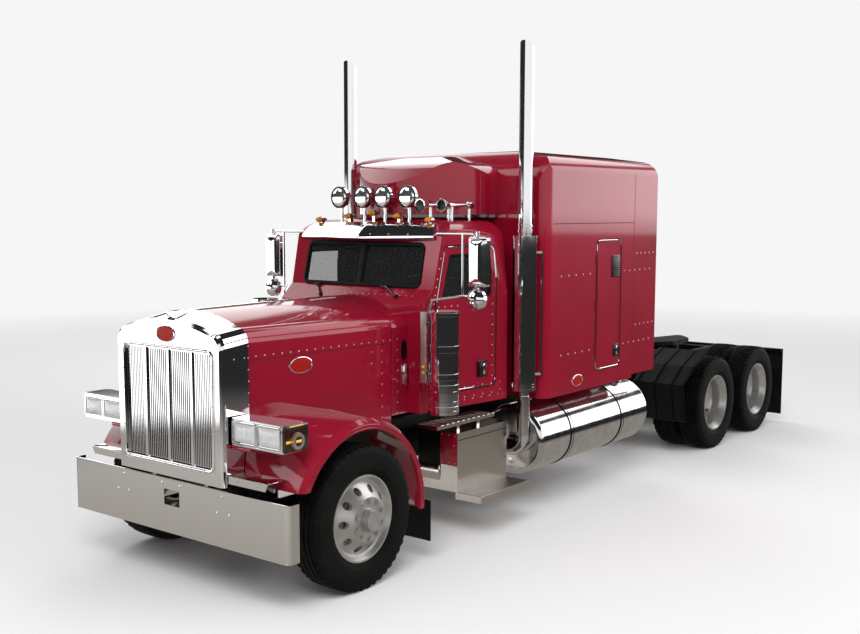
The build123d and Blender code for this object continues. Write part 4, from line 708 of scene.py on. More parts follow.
def tyre_points(centre_x, axle_y, groove_x, groove_w, notch, share, skew):
    """A tyre as a closed ring: its section turned about the axle, with the crown sunk where a groove runs.
    Grooves round the tyre lie at groove_x; cross grooves, notch = (depth, inner end), take up a share of each
    pitch and lean by skew."""
    edges = sorted({0.0, TREAD_HALF, *[x + side * (groove_w / 2 + d) for x in groove_x for side in (-1, 1)
                                       for d in (-0.001, 0.002)]})
    edges = [x for x in edges if 0 <= x <= TREAD_HALF]
    edges = sorted(set(edges + [0.5 * (a + b) for a, b in zip(edges[:-1], edges[1:]) if b - a > 0.015]))
    half = [(x, TYRE_R - 0.004 * (x / TREAD_HALF) ** 2) for x in edges] + SIDEWALL
    section = np.array([(-x, r) for x, r in half[:0:-1]] + half)
    x, radius = section[:, 0][:, None], section[:, 1][:, None]
    turn = np.linspace(0, 2 * np.pi, STEPS, endpoint=False)[None, :]
    near = np.min(np.abs(np.abs(x)[..., None] - np.array(groove_x)), axis=-1)
    groove = (radius > TYRE_R - 0.0045) & (near < groove_w / 2)
    phase = (turn / (2 * np.pi) * STEPS / 6 + skew * np.abs(x) / TREAD_HALF + (x > 0) * 0.5) % 1.0
    cross = (phase < share) & ((radius > TYRE_R - 0.02) & (np.abs(x) > notch[1]))
    r = radius - np.where(groove, TREAD_DEPTH, np.where(cross, notch[0], 0.0))
    return np.stack([centre_x + x + 0 * turn, axle_y + r * np.cos(turn), TYRE_R + r * np.sin(turn)], -1)


tyre_rubber = plain("moulded_tyre_rubber", cloudy((0.15, 8.0), [(0.4, "#080808"), (0.8, "#151412")],
                                                  (0.62, 0.85), (0.003, 3.0), 0.0004), 0.15)
RIB_TREAD = ((0.026, 0.072), 0.011, (0.01, 0.088), 0.4, 0.5)
BLOCK_TREAD = ((0.0, 0.04, 0.08), 0.012, (0.013, -1.0), 0.42, 1.0)


def tyre_piece(name, body, replaced, tread, twins=False):
    """One piece for the one or two tyres that turn together, standing for their CAD node."""
    low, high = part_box(replaced)
    centres = [low[0] + TYRE_HALF, high[0] - TYRE_HALF] if twins else [(low[0] + high[0]) / 2]
    rings = [tyre_points(x, (low[1] + high[1]) / 2, *tread) for x in centres]
    form = joined([(ring, net(len(ring), STEPS)) for ring in rings])
    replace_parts(piece(name, form, body, tyre_rubber, 20.0), replaced)


for name, _ in SIDES:
    tyre_piece("tread_front_" + name, "front_wheel_" + name, "steer_tyre_" + name, RIB_TREAD)
    for end in ("1_" + name, "2_" + name):
        tyre_piece("tread_drive_" + end, "drive_wheel_" + end, "drive_tyres_" + end, BLOCK_TREAD, True)


# ------------------------------------------------------------------ rivets
# Button-head rivets of aluminium along the panels' seams, 14 to 18 mm across, each one set on
# the skin where it really lies. Rows are (start, end, count), from (y, z) to (y, z).
HOOD_ROWS = (((0.324, 1.776), (1.75, 1.771), 18), ((1.652, 1.69), (1.652, 1.137), 7),
             ((1.529, 1.692), (1.529, 1.599), 2))
CROWN_ROWS = (((0.238, 1.86), (0.238, 1.43), 6), ((0.1, 1.776), (0.2, 1.776), 2))
COWL_ROWS = (((1.845, 1.772), (1.845, 1.152), 8),)
SLEEPER_ROWS = (((3.6, 2.232), (4.14, 2.232), 5), ((4.84, 2.232), (5.397, 2.232), 6),
                ((3.61, 1.494), (4.14, 1.494), 5), ((4.84, 1.494), (5.411, 1.494), 6),
                ((5.1, 2.403), (5.473, 2.403), 5), ((5.1, 1.667), (5.487, 1.667), 5))
CAB_ROWS = (((2.23, 2.43), (2.19, 2.258), 3), ((2.175, 2.19), (2.15, 2.05), 3),
            ((2.53, 1.215), (2.89, 1.215), 4), ((2.53, 1.19), (2.97, 1.19), 5), ((3.0, 1.234), (3.0, 1.3), 2))
DOOR_ROWS = (((2.205, 2.02), (2.44, 2.02), 4), ((2.889, 2.009), (2.889, 1.367), 8),
             ((2.532, 1.3), (2.878, 1.3), 4))


def both_rows(node, rows):
    """The spots of rows on a node's left flank and on its right one."""
    return [spot for _, side in SIDES for spot in rows_on(node, rows, side)]


arch_row = [hit("crown", (0.085 * k, BUMPER_Y + 0.238, 4.0), -UP) for k in range(-6, 7)]
rivets("rivets_hood", studs(both_rows("hood", HOOD_ROWS)), "hood")
rivets("rivets_crown", studs(both_rows("crown", CROWN_ROWS) + arch_row, 0.007), "hood")
rivets("rivets_sleeper", studs(both_rows(("sleeper_sides", "extenders"), SLEEPER_ROWS), 0.009, 0.004))
cab_spots = both_rows(("cab_sides", "cab_tub", "cowl"), CAB_ROWS) + both_rows("cowl", COWL_ROWS)
rivets("rivets_cab", studs(cab_spots))
for name, side in SIDES:
    rivets("rivets_door_" + name, studs(rows_on("door_" + name, DOOR_ROWS, side)), "door_" + name)
front_row = [hit("cowl", (x, -5.0, 2.115), ASTERN) for x in np.linspace(-0.66, 0.66, 20)]
rivets("rivets_windscreen", studs(front_row, 0.007))


# ------------------------------------------------------------------ trim, seams and badges
# Bright beads round the doors, dark panel seams, and an oval enamel badge with a chrome rim
# on the nose, each side of the hood and each side of the sleeper. The badges bear no words.
def seam(node, ends, width=0.005, height=0.0006):
    """An open dark seam between two (y, z) ends behind the bumper, on both sides of the truck."""
    return joined([line_on(node, ends, width, height, side, False) for _, side in SIDES])


DOOR_LINE = rounded([(2.186, 1.286, 0.05), (2.186, 2.08, 0.3), (2.282, 2.524, 0.05), (2.929, 2.524, 0.06),
                     (2.929, 1.286, 0.06)])
BUNK_LINE = box_line((4.266, 4.754), (1.286, 2.544), 0.05)
SLEEPER_SHELL = ("sleeper_sides", "extenders", "sleeper_roof")
hood_seams = [seam("hood", [(0.27, 1.752), (1.745, 1.7455)]), seam("crown", [(0.045, 1.752), (0.235, 1.752)])]
piece("seams_hood", joined(hood_seams), "hood", seam_black)
piece("seams_sleeper", joined([seam(SLEEPER_SHELL, ends, 0.007, 0.0008) for ends in
                               ([(3.44, 2.715), (5.02, 2.715)], [(5.04, 1.2), (5.04, 3.2)])]),
      "chassis", seam_black)
for name, side in SIDES:
    door, bunk = "door_" + name, "bunk_door_" + name
    chrome("trim_" + door, line_on(door, DOOR_LINE, 0.013, 0.006, side), door)
    chrome("trim_" + bunk, line_on(bunk, BUNK_LINE, 0.018, 0.009, side), bunk)


def side_badges(node, y, z, width, height):
    """An oval badge on each flank of a node, at y behind the bumper."""
    return [oval(flank(node, behind_bumper([(y, z)]), side)[0], width, height) for _, side in SIDES]


hood_badges = [oval(hit("crown", (0.0, -6.0, 1.932), ASTERN), 0.212, 0.12)]
hood_badges += side_badges("hood", 0.76, 1.668, 0.235, 0.125)
sleeper_badges = side_badges("sleeper_sides", 3.917, 1.226, 0.2, 0.11)
for body, badges in (("hood", hood_badges), ("chassis", sleeper_badges)):
    faces, rims = zip(*badges)
    piece("badge_faces_" + body, joined(faces), body, badge_enamel)
    chrome("badge_rims_" + body, joined(rims), body)


# ------------------------------------------------------------------ nose and bumper
# A raised chrome frame round the grille with small rivets, a plain fin on top of the nose,
# chromed shelf plates over the bumper's ends, and the bumper's dome-headed bolts.
def front_bead(outline, y, width, height, step=0.05):
    """A bead along a closed (x, z) outline in the plane at y, facing forward."""
    return bead(facing(AHEAD, [(x, y, z) for x, z in dense(outline, step)]), width, height)


GRILLE_RIM = [(-0.5, 0.962, 0.045), (-0.508, 1.836, 0.055), (0.508, 1.836, 0.055), (0.5, 0.962, 0.045)]
GROWN, GRILLE_MID = 1.042, 1.4          # the outer rim is the inner one grown about this height
rim_line = dense(rounded(GRILLE_RIM), 0.05)
outer_rim = rounded([(x * GROWN, GRILLE_MID + (z - GRILLE_MID) * GROWN, r) for x, z, r in GRILLE_RIM])
chrome("nose_frame", joined([front_bead(rounded(GRILLE_RIM), NOSE_Y - 0.001, 0.026, 0.009),
                             front_bead(outer_rim, NOSE_Y + 0.001, 0.006, 0.004)]), "hood")
rivets("nose_frame_rivets",
       studs(facing(AHEAD, [(x, NOSE_Y - 0.009, z) for x, z in dense(rim_line, 0.2)[::3]]), 0.006), "hood")

ornament_foot, _ = hit("crown", (0.0, NOSE_Y + 0.035, 4.0), -UP)
FIN = [(0.0, 0.0), (0.018, 0.0), (0.022, 0.02), (0.06, 0.034), (0.135, 0.042), (0.195, 0.054), (0.135, 0.054),
       (0.05, 0.051), (-0.01, 0.052), (-0.018, 0.04), (-0.01, 0.02)]
fin = slab(FIN, ornament_foot + (-0.009, 0, -0.004), ASTERN, UP, 0.018, 0.005)
foot = lathe([(-0.006, 0.03), (0.004, 0.03), (0.01, 0.022), (0.014, 0.01)], ornament_foot + ASTERN * 0.008,
             UP, 24)
chrome("nose_fin", joined([fin, foot]), "hood")

SHELF_Y = BUMPER_Y + 0.026
shelf = slab([(0.0, 0.0), (0.4, 0.0), (0.37, 0.058), (-0.006, 0.058)], (0.61, SHELF_Y, 0.948), (1, 0, 0),
             (0, 0.06, -1), -0.004, 0.001)
shelf_top = brick((0.604, 1.01), (SHELF_Y, BUMPER_Y + 0.2), (0.944, 0.949), 0.002)
chrome("bumper_shelves", twin(shelf, shelf_top), "hood")
rivets("bumper_shelf_bolts",
       twin(studs(facing(AHEAD, [(x, BUMPER_Y + 0.024, 0.92) for x in (0.7, 0.9)]), 0.009, 0.005)), "hood")
BUMPER_BOLTS = ((0.567, 0.794), (0.64, 0.667), (0.511, 0.667), (0.102, 0.797))
chrome("bumper_bolts", twin(studs(facing(AHEAD, [(x, BUMPER_Y, z) for x, z in BUMPER_BOLTS]), 0.013, 0.007)))
low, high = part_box("bumper")
lips = [[(x, BUMPER_Y + 0.006, z) for x in (low[0] + 0.02, high[0] - 0.02)]
        for z in (high[2] - 0.002, low[2] + 0.002)]
chrome("bumper_lips", joined([pipe(dense(lip, 0.3, False), 0.006, 10) for lip in lips]))


# ------------------------------------------------------------------ headlamps
# Two square lamps a side in a chrome bezel: ribbed clear lenses before silvered bowls, and a
# smoked amber wrap on the outer end with a round turn signal and bright bars.
lamp_glass = plain("clear_ribbed_lens", hazed(0.01, 0.08, 0.2), values={
    "Base Color": linear("#f4f6f6"), "IOR": 1.45, "Transmission Weight": 0.55, "Coat Weight": 0.5})
LAMP_FACE = BUMPER_Y + 0.047
LAMPS, LAMP_Z = ((0.644, 0.8675), (0.8915, 1.109)), (1.196, 1.344)
BEZEL_X, BEZEL_Z = (0.63, 1.128), (1.181, 1.359)


def grown(span, by):
    """A (low, high) span let out by some at both ends."""
    return span[0] - by, span[1] + by


def reflector(x, z, face, deep, steps=10, sides=40):
    """A silvered square bowl behind a lamp's face, closed behind by a flat back."""
    rows = []
    cosines, sines = compass(sides)
    square = np.maximum(np.abs(cosines), np.abs(sines))
    for t in np.linspace(0, 1, steps):
        blend = (1 - t) / square + t              # square at the rim, round at the bulb
        reach = blend * (np.sqrt(max(1 - t * t, 0.0)) * 0.98 + 0.02) / 2
        rows.append(np.stack([sum(x) / 2 + (x[1] - x[0]) * cosines * reach, np.full(sides, face + deep * t),
                              sum(z) / 2 + (z[1] - z[0]) * sines * reach], -1))
    return np.array(rows), [*net(steps, sides, False), np.arange(sides) + (steps - 1) * sides]


def ribbed(x, z, face, bulge, ribs):
    """A lens: a gently domed pane with upright ribs on its face and a flat back."""
    u, v = np.meshgrid(np.linspace(0, 1, ribs * 6 + 1), np.linspace(0, 1, 13), indexing="ij")
    dome = (1 - (2 * u - 1) ** 4) * (1 - (2 * v - 1) ** 4)
    rib = np.abs(np.sin(u * ribs * np.pi)) * 0.0012 * dome
    front = np.stack([x[0] + (x[1] - x[0]) * u, face - bulge * dome - rib, z[0] + (z[1] - z[0]) * v], -1)
    back = front.copy()
    back[..., 1] = face + 0.004
    return skirted(front, back)


recess = LAMP_FACE + 0.0115
bowls, panes = [], []
strips = [front_bead(box_line(BEZEL_X, BEZEL_Z, 0.02), LAMP_FACE, 0.008, 0.004, 0.03)]
for x in LAMPS:
    inner_x, inner_z = grown(x, -0.008), grown(LAMP_Z, -0.008)
    bulb = lathe([(0.0, 0.02), (-0.004, 0.018), (-0.006, 0.01), (-0.007, 0.0)],
                 (sum(inner_x) / 2, recess - 0.003, sum(inner_z) / 2), ASTERN, 24)
    bowls += [reflector(inner_x, inner_z, recess - 0.009, 0.0085), bulb]
    panes.append(ribbed(inner_x, inner_z, LAMP_FACE - 0.002, 0.008, 14))
    rim = box_line(grown(x, 0.001), grown(LAMP_Z, 0.001), 0.012)
    strips.append(front_bead(rim, LAMP_FACE, 0.013, 0.006, 0.03))
piece("lamp_bowls", twin(*bowls), "hood", silvered)
piece("lamp_lenses", twin(*panes), "hood", lamp_glass)
chrome("lamp_bezels", twin(*strips), "hood")
SIGNAL = (1.1365, BUMPER_Y + 0.167, 1.252)
wrap = brick((1.112, 1.15), (BUMPER_Y + 0.054, BUMPER_Y + 0.29), (1.174, 1.366), 0.014, 4)
signal = lathe([(0.0, 0.056), (0.024, 0.056), (0.031, 0.05), (0.035, 0.034), (0.036, 0.0)], SIGNAL,
               OUTWARD, 40)
piece("turn_signals", twin(wrap, signal), "hood", smoked_amber)
bars = [brick((1.164, 1.1765), (SIGNAL[1] - 0.03, SIGNAL[1] + 0.026), (1.243, 1.263), 0.004),
        brick((1.146, 1.154), (BUMPER_Y + 0.064, BUMPER_Y + 0.11), (1.243, 1.262), 0.003),
        brick((1.12, 1.1515), (BUMPER_Y + 0.1, BUMPER_Y + 0.235), (1.352, 1.36), 0.003)]
piece("turn_signal_bars", twin(*bars), "hood", amber_bright)
ring = lathe([(0.018, 0.0565), (0.022, 0.06), (0.027, 0.0565)], SIGNAL, OUTWARD, 40)
piece("turn_signal_rings", twin(ring), "hood", amber_lens)
ledge = brick((0.604, 0.8), (BUMPER_Y + 0.06, BUMPER_Y + 0.25), (1.135, 1.166), 0.008, 3)
piece("lamp_ledges", twin(ledge), "hood", crimson_lacquer)


# ------------------------------------------------------------------ windscreen
# The two panes sit in one black rubber seal with a black centre post; two black wipers lie
# over the scuttle, just under the glass.
RAKE = 0.2325
rake, out_of_glass = np.array((0.0, np.sin(RAKE), np.cos(RAKE))), np.array((0.0, -np.cos(RAKE), np.sin(RAKE)))
GLASS_FOOT = np.array((0.0, -2.571, 2.168))
PANE_Z = (2.186, 2.548)
PANE_CORNERS = ((-0.672, PANE_Z[0]), (-0.667, PANE_Z[1]), (0.667, PANE_Z[1]), (0.672, PANE_Z[0]))


def on_glass(x, z):
    """A place on the windscreen's outer face."""
    return GLASS_FOOT + (x, 0, 0) + rake * (z - GLASS_FOOT[2]) / rake[2]


opening = dense(rounded([(x, z, 0.05) for x, z in PANE_CORNERS]), 0.08)
seal_line = facing(out_of_glass, [on_glass(x, z) for x, z in opening])
post_line = facing(out_of_glass, [on_glass(0.0, z) for z in np.linspace(*PANE_Z, 8)])
rubber("windscreen_seal", joined([bead(seal_line, 0.034, 0.012, sink=0.004),
                                  bead(post_line, 0.062, 0.012, False)]))
# x and z of each wiper's upper and lower end
WIPERS = (((-0.492, 2.172), (-0.356, 2.078)), ((0.295, 2.176), (0.497, 2.096)))
blades = []
for upper, lower in WIPERS:
    run = []
    for t, (x, z) in zip(np.linspace(0, 1, 7), np.linspace(upper, lower, 7)):
        place, normal = hit(("cowl", "windscreen"), (x, -5.0, z), ASTERN)
        run.append(place + normal * (0.014 + 0.012 * np.sin(np.pi * t)))
    x, y, z = run[0]
    pivot = lathe([(-0.012, 0.017), (0.01, 0.016), (0.018, 0.008), (0.019, 0.0)], run[-1], out_of_glass, 20)
    blades += [pipe(run, 0.008, 8), pipe(np.array(run) + (0, -0.006, -0.004), 0.004, 6), pivot,
               brick((x - 0.03, x + 0.05), (y - 0.01, y + 0.004), (z - 0.006, z + 0.01))]
plastic("wipers", joined(blades))


# ------------------------------------------------------------------ drop visor
# A chrome visor over the windscreen, creased at its middle into two flat wings, rolled along
# both edges, with bolt heads along its face.
VISOR_HALF, VISOR_SWEEP, VISOR_Z = 0.768, 0.1, (2.592, 2.733)
t = np.linspace(-1, 1, 81)
# y and z of its section, out along the outer face and back along the inner one
profile = [(-2.548, 2.592), (-2.5535, 2.594), (-2.553, 2.6), (-2.54, 2.622), (-2.512, 2.655), (-2.478, 2.69),
           (-2.44, 2.719), (-2.424, 2.729), (-2.418, 2.7335), (-2.414, 2.729), (-2.436, 2.712),
           (-2.474, 2.682), (-2.508, 2.646), (-2.536, 2.612)]
rows = []
for y, z in profile:
    rise = np.clip((z - VISOR_Z[0]) / (VISOR_Z[1] - VISOR_Z[0]), 0, 1)
    swept = y + VISOR_SWEEP * (1 - 0.6 * rise) * (np.abs(t) - 0.45)
    across = (VISOR_HALF - 0.075 * rise ** 2) * t
    rows.append(np.stack([across, swept, z - 0.012 * np.abs(t) ** 3 * rise], -1))
ends = [[k * len(t) + end for k in range(len(profile))] for end in (0, len(t) - 1)]
shell = chrome("visor_shell", (np.array(rows), net(len(profile), len(t), True, False).tolist() + ends))
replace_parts(shell, "visor")
skins["visor_shell"] = skin_of(shell)
VISOR_BOLTS = ((0.51, 2.703), (0.35, 2.703), (0.12, 2.703), (0.51, 2.632), (0.31, 2.632), (0.12, 2.632),
               (0.69, 2.703))
bolts = [hit("visor_shell", (x, -4.0, z), ASTERN) for x, z in VISOR_BOLTS]
rivets("visor_bolts", twin(studs(bolts, 0.008, 0.004)))


# ------------------------------------------------------------------ roof lamps, markers and horns
# Four round clear spot lamps in chrome bowls with dark rims, five amber bullet markers on
# chrome feet, and black discs in the mouths of two chrome trumpets: painted shade for their hollow bells.
SPOT_LAMPS = [(x, -2.39, 2.955) for x in (-0.396, -0.12, 0.12, 0.396)]
MARKERS = [(x, -2.395, 2.812 - 0.09 * abs(x)) for x in (-0.64, -0.29, 0.0, 0.29, 0.64)]
HORNS = ((0.56, -2.41, 2.88), (0.7, -2.29, 2.88))
bright_lens = surface("silvered_spot_lens", {"Metallic": 0.95}, lambda tree, position: {
    "Base Color": ramp(tree, noise(tree, position, 0.03), [(0.3, "#f0f1f1"), (0.7, "#ffffff")]),
    **hazed(0.006, 0.04, 0.09)(tree, position)})


def lathes(profile, places, axis=AHEAD, steps=32):
    """The same turned form at several places, as one."""
    return joined([lathe(profile, place, axis, steps) for place in places])


piece("roof_lamp_lenses", lathes([(-0.01, 0.086), (0.0, 0.086), (0.006, 0.08), (0.011, 0.064), (0.014, 0.043),
                                  (0.0155, 0.021), (0.016, 0.0)], SPOT_LAMPS, steps=48),
      "chassis", bright_lens)
plastic("roof_lamp_rims", lathes([(-0.012, 0.0985), (0.004, 0.0985), (0.007, 0.095), (0.006, 0.087),
                                  (-0.012, 0.087)], SPOT_LAMPS, steps=48))
piece("marker_lenses", lathes([(-0.03, 0.025), (0.0, 0.0262), (0.006, 0.025), (0.03, 0.019), (0.044, 0.01),
                               (0.048, 0.0)], MARKERS, steps=28), "chassis", amber_lens)
# black discs in the trumpets' mouths: painted shade for the hollow inside each bell
plastic("horn_mouth_painted_shade", lathes([(0.0, 0.045), (0.004, 0.043), (0.006, 0.02), (0.006, 0.0)],
                              [(x, y + 0.005, z) for x, y, z in HORNS]))
lip = [(-0.004, 0.0565), (0.004, 0.0575), (0.007, 0.055), (0.006, 0.047), (-0.004, 0.047)]
chrome("horn_lips", lathes(lip, HORNS, steps=40))


# ------------------------------------------------------------------ mirrors
# Tall silvered mirror glasses in chrome heads and a round convex glass below each, looking
# back past the cab.
glass = slab(box_line((-0.082, 0.082), (-0.19, 0.19), 0.02), (1.196, -2.408, 2.4085), -OUTWARD, UP,
             0.006, 0.001)
spot = lathe([(0.0, 0.078), (0.004, 0.076), (0.011, 0.05), (0.014, 0.0)], (1.194, -2.438, 2.1), ASTERN, 40)
piece("mirror_glasses", twin(glass, spot), "chassis", mirror_glass)


def crowned(x, z, y, rise):
    """The bowed back of a mirror head: a rounded rectangle at y that swells forward, highest midway."""
    outline, middle = dense(box_line(x, z, 0.02, 8), 0.03), np.array([sum(x) / 2, sum(z) / 2])
    rows = [[(a, y + 0.004, b) for a, b in outline]]
    for scale in (1.0, 0.97, 0.9, 0.75, 0.55, 0.35, 0.15, 0.0):
        reach = middle + (outline - middle) * (scale, 1 - (1 - scale) * 0.35)
        rows.append([(a, y - rise * np.sqrt(1 - scale ** 2), b) for a, b in reach])
    return np.array(rows), net(len(rows), len(outline), False)


HEAD_BACK = [(-0.004, 0.087), (0.0, 0.087), (0.014, 0.08), (0.03, 0.062), (0.042, 0.036), (0.046, 0.0)]
chrome("mirror_backs", twin(crowned((1.104, 1.288), (2.207, 2.61), -2.4525, 0.034),
                            lathe(HEAD_BACK, (1.194, -2.474, 2.1), AHEAD, 48)))
clamps = lathes([(-0.022, 0.014), (-0.018, 0.017), (0.018, 0.017), (0.022, 0.014)],
                [(1.198, -2.455, z) for z in (2.64, 2.196, 2.18)], UP, 20)
knob = lathe([(-0.012, 0.02), (0.012, 0.02)], (1.198, -2.47, 2.188), ASTERN, 20)
chrome("mirror_clamps", twin(clamps, knob))


# ------------------------------------------------------------------ doors
# Black rubber round the window, a black handle plate with a chrome lever, and on each bunk
# door a louvred black vent over a like plate and lever.
def pane_outline(node, shrink):
    """The (y, z) hull of a flat pane, drawn in towards its middle, in truck coordinates."""
    flat = sorted({(round(v.co.y, 4), round(v.co.z, 4)) for v in nodes[node].data.vertices})
    hull = []
    for run in (flat, flat[::-1]):
        start = len(hull)
        for point in run:
            while len(hull) >= start + 2 and np.cross(np.subtract(hull[-1], hull[-2]),
                                                      np.subtract(point, hull[-1])) <= 0:
                hull.pop()
            hull.append(point)
        hull.pop()
    hull = np.array(hull)
    middle, reach = (hull.min(0) + hull.max(0)) / 2, (hull.max(0) - hull.min(0)) / 2
    return middle + (hull - middle) * (reach - shrink) / reach


def flank_x(node, y, z, side):
    """How far out a node's flank lies at a (y, z) place."""
    return abs(flank(node, [(y, z)], side)[0][0][0])


def proud(side, x, lift, y, z, bevel=0.005, segments=3):
    """A rounded block on a flat flank at x, from lift[0] to lift[1] outside it."""
    return brick((side * (x + lift[0]), side * (x + lift[1])), y, z, bevel, segments)


for name, side in SIDES:
    door, bunk, out = "door_" + name, "bunk_door_" + name, (side, 0.0, 0.0)
    pane = flank("door_glass_" + name, dense(pane_outline("door_glass_" + name, 0.006), 0.05), side)
    rubber("window_seal_" + name, bead(pane, 0.03, 0.013, sink=0.003), door)
    x = flank_x(door, -1.95, 1.443, side)
    rim = facing(np.array(out), [(side * (x + 0.003), y, z) for y, z in
                                 dense(box_line((-2.012, -1.888), (1.381, 1.505), 0.02), 0.03)])
    plate = proud(side, x, (-0.012, 0.003), (-2.022, -1.878), (1.371, 1.515), 0.004, 2)
    plastic("handle_plate_" + name, joined([plate, bead(rim, 0.014, 0.006)]), door)
    lock = lathe([(0.0, 0.01), (0.004, 0.009), (0.005, 0.0)], (side * (x + 0.003), -1.91, 1.47), out, 20)
    chrome("handle_lever_" + name,
           joined([proud(side, x, (0.001, 0.014), (-1.966, -1.94), (1.392, 1.49)), lock]), door)
    x = flank_x(bunk, -0.0675, 2.2875, side)
    louvres = [proud(side, x, (-0.004, 0.01), (-0.14, 0.005), (z, z + 0.012), 0.003, 2)
               for z in np.linspace(2.19, 2.375, 10)]
    back = proud(side, x, (-0.006, 0.002), (-0.146, 0.011), (2.18, 2.395), 0.002, 2)
    plastic("bunk_vent_" + name, joined(louvres + [back]), bunk)
    x = flank_x(bunk, -0.03, 1.4425, side)
    plastic("bunk_plate_" + name, proud(side, x, (-0.01, 0.003), (-0.083, 0.023), (1.38, 1.506)), bunk)
    chrome("bunk_lever_" + name, proud(side, x, (0.001, 0.013), (-0.044, -0.02), (1.398, 1.488)), bunk)


# ------------------------------------------------------------------ hood latches and lamp bars
# A chromed over-centre latch and a black rubber oval on each cowl side, painted shade for an oval opening
# there;
# chrome bands round each air cleaner, and beside it an aluminium bar with small amber clearance lamps.
LATCH_Y = BUMPER_Y + 1.93
x = flank_x("cowl", LATCH_Y, 1.46, 1)
# how far out each block stands, half its width, its z range and its bevel
LATCH = (((-0.002, 0.008), 0.035, (1.385, 1.545), 0.004), ((0.006, 0.022), 0.015, (1.37, 1.56), 0.006))
blocks = [proud(1, x, lift, (LATCH_Y - half, LATCH_Y + half), z, bevel, 2) for lift, half, z, bevel in LATCH]
lever = pipe([(x + 0.022, LATCH_Y, z) for z in (1.41, 1.46, 1.52)], 0.009)
chrome("hood_latches", twin(*blocks, lever))
# a domed black oval on each cowl side: painted shade for the dark of an oval opening
rubber("cowl_hole_painted_shade", twin(oval(flank("cowl", [(LATCH_Y - 0.005, 1.672)])[0], 0.08, 0.185)[0]))
CLEANER_X, CLEANER_Y, BAR_X = 1.04, -2.71, 0.94
# height and half width of each band
BANDS = ((1.19, 0.01), (1.27, 0.008), (1.345, 0.016), (1.47, 0.016), (1.7, 0.02), (1.988, 0.012))
chrome("air_cleaner_bands", twin(*[
    lathe([(-half, 0.1265), (-half + 0.002, 0.1315), (half - 0.002, 0.1315), (half, 0.1265)],
          (CLEANER_X, CLEANER_Y, z), UP, 64) for z, half in BANDS]))
piece("lamp_bar_plates", twin(brick((0.912, 0.968), (-2.856, -2.849), (1.428, 2.013))),
      "chassis", wheel_alloy)
piece("lamp_bar_lenses", twin(lathes([(0.0, 0.016), (0.008, 0.015), (0.014, 0.008), (0.015, 0.0)],
                                     [(BAR_X, -2.855, z) for z in (1.512, 1.56)], steps=20)),
      "chassis", amber_lens)
bolts = facing(AHEAD, [(BAR_X, -2.856, z) for z in (1.46, 1.62, 1.8, 1.98)])
rivets("lamp_bar_bolts", twin(studs(bolts, 0.006)))


# ------------------------------------------------------------------ steps, boxes and tanks
# Polished bars and a checker plate on the steps, a red riveted end on the tool box beside the air drum, a
# black plate of painted shade next to that end, filler caps and drain plugs on the tanks, and the tank
# straps' rubber liners.
TREAD = [(0, 0), (0.2, 0.05), (0.2, 0.085), (0, 0.035)]
treads = [slab(TREAD, (0.803, y, 1.0495), OUTWARD, ASTERN, 0.004, 0.001)
          for y in np.arange(-2.735, -1.93, 0.075)]
piece("step_treads", twin(*treads), "chassis", polished_alloy)


def checker_links(tree, position):
    """Raised lozenges 18 mm apart, brighter and smoother on top."""
    lattice = add(tree, "Mapping", {"Vector": position},
                  {"Scale": (55.0, 55.0, 1.0), "Rotation": (0.0, 0.0, 0.7854)})
    cells = add(tree, "TexVoronoi", {"Vector": lattice.outputs[0]}, {"Scale": 1.0, "Randomness": 0.15},
                distance="CHEBYCHEV").outputs["Distance"]
    raised = spread(tree, cells, 1.0, 0.0, 0.18, 0.34)
    return {"Base Color": ramp(tree, raised, [(0.2, "#8d8983"), (0.8, "#e6e3de")]),
            "Roughness": spread(tree, raised, 0.5, 0.2), "Normal": bump(tree, raised, 0.0015)}


piece("step_checker_plates", twin(brick((0.938, 1.192), (-2.372, -1.628), (0.4085, 0.4125), 0.001, 1)),
      "chassis", metal("checker_plate_alloy", checker_links))
BOX_FRONT = -2.386
drum = lathe([(-0.12, 0.15), (-0.112, 0.158), (0.112, 0.158), (0.12, 0.15)], (0.644, -2.24, 0.565),
             OUTWARD, 64)
# a flat black plate on the box front above the air drum: painted shade where that face lies in shadow
piece("tool_box_painted_shade", twin(brick((0.522, 0.768), (-2.3845, -2.379), (0.6, 0.928), 0.002)),
      "chassis", chassis_enamel)
piece("air_drum_ends", twin(drum), "chassis", linished_steel)
piece("tool_box_ends", twin(brick((0.765, 0.946), (BOX_FRONT, -2.379), (0.64, 0.925))),
      "chassis", crimson_lacquer)
rivets("tool_box_rivets", twin(studs(facing(AHEAD, [(x, BOX_FRONT, z) for x in (0.785, 0.855, 0.925)
                                                    for z in (0.665, 0.905)]), 0.006)))
piece("tool_box_seams", twin(brick((0.945, 0.9525), (-2.37, -1.63), (0.862, 0.87), 0.002, 1)),
      "chassis", seam_black)
STRAPS, STRAP_EDGE = (-0.86, 0.15), 0.026
TANK_X, TANK_Z, TANK_R = 0.87, 0.712, 0.33
TANK_ENDS, DRAIN_DROP = ((-1.4183, AHEAD), (0.741, ASTERN)), 0.2
collar = lathe([(-0.004, 0.072), (0.004, 0.072), (0.008, 0.066), (0.008, 0.0)], (0.93, 0.47, 1.04), UP, 36)
drains = [lathe([(0.0, 0.03), (0.004, 0.028), (0.006, 0.0)], (TANK_X, y, TANK_Z - DRAIN_DROP), way, 24)
          for y, way in TANK_ENDS]
liner = [(-0.004, TANK_R - 0.002), (-0.003, TANK_R + 0.005), (0.003, TANK_R + 0.005), (0.004, TANK_R - 0.002)]
piece("tank_seams", twin(collar, *drains), "chassis", polished_alloy)
rubber("strap_liners", twin(lathes(liner, [(TANK_X, y + step, TANK_Z) for y in STRAPS
                                           for step in (-STRAP_EDGE, STRAP_EDGE)], ASTERN, 96)))
chrome("tank_caps", twin(lathe([(-0.02, 0.058), (0.0, 0.058), (0.012, 0.054), (0.02, 0.04), (0.022, 0.0)],
                               (0.93, 0.47, 1.07), UP, 36)))


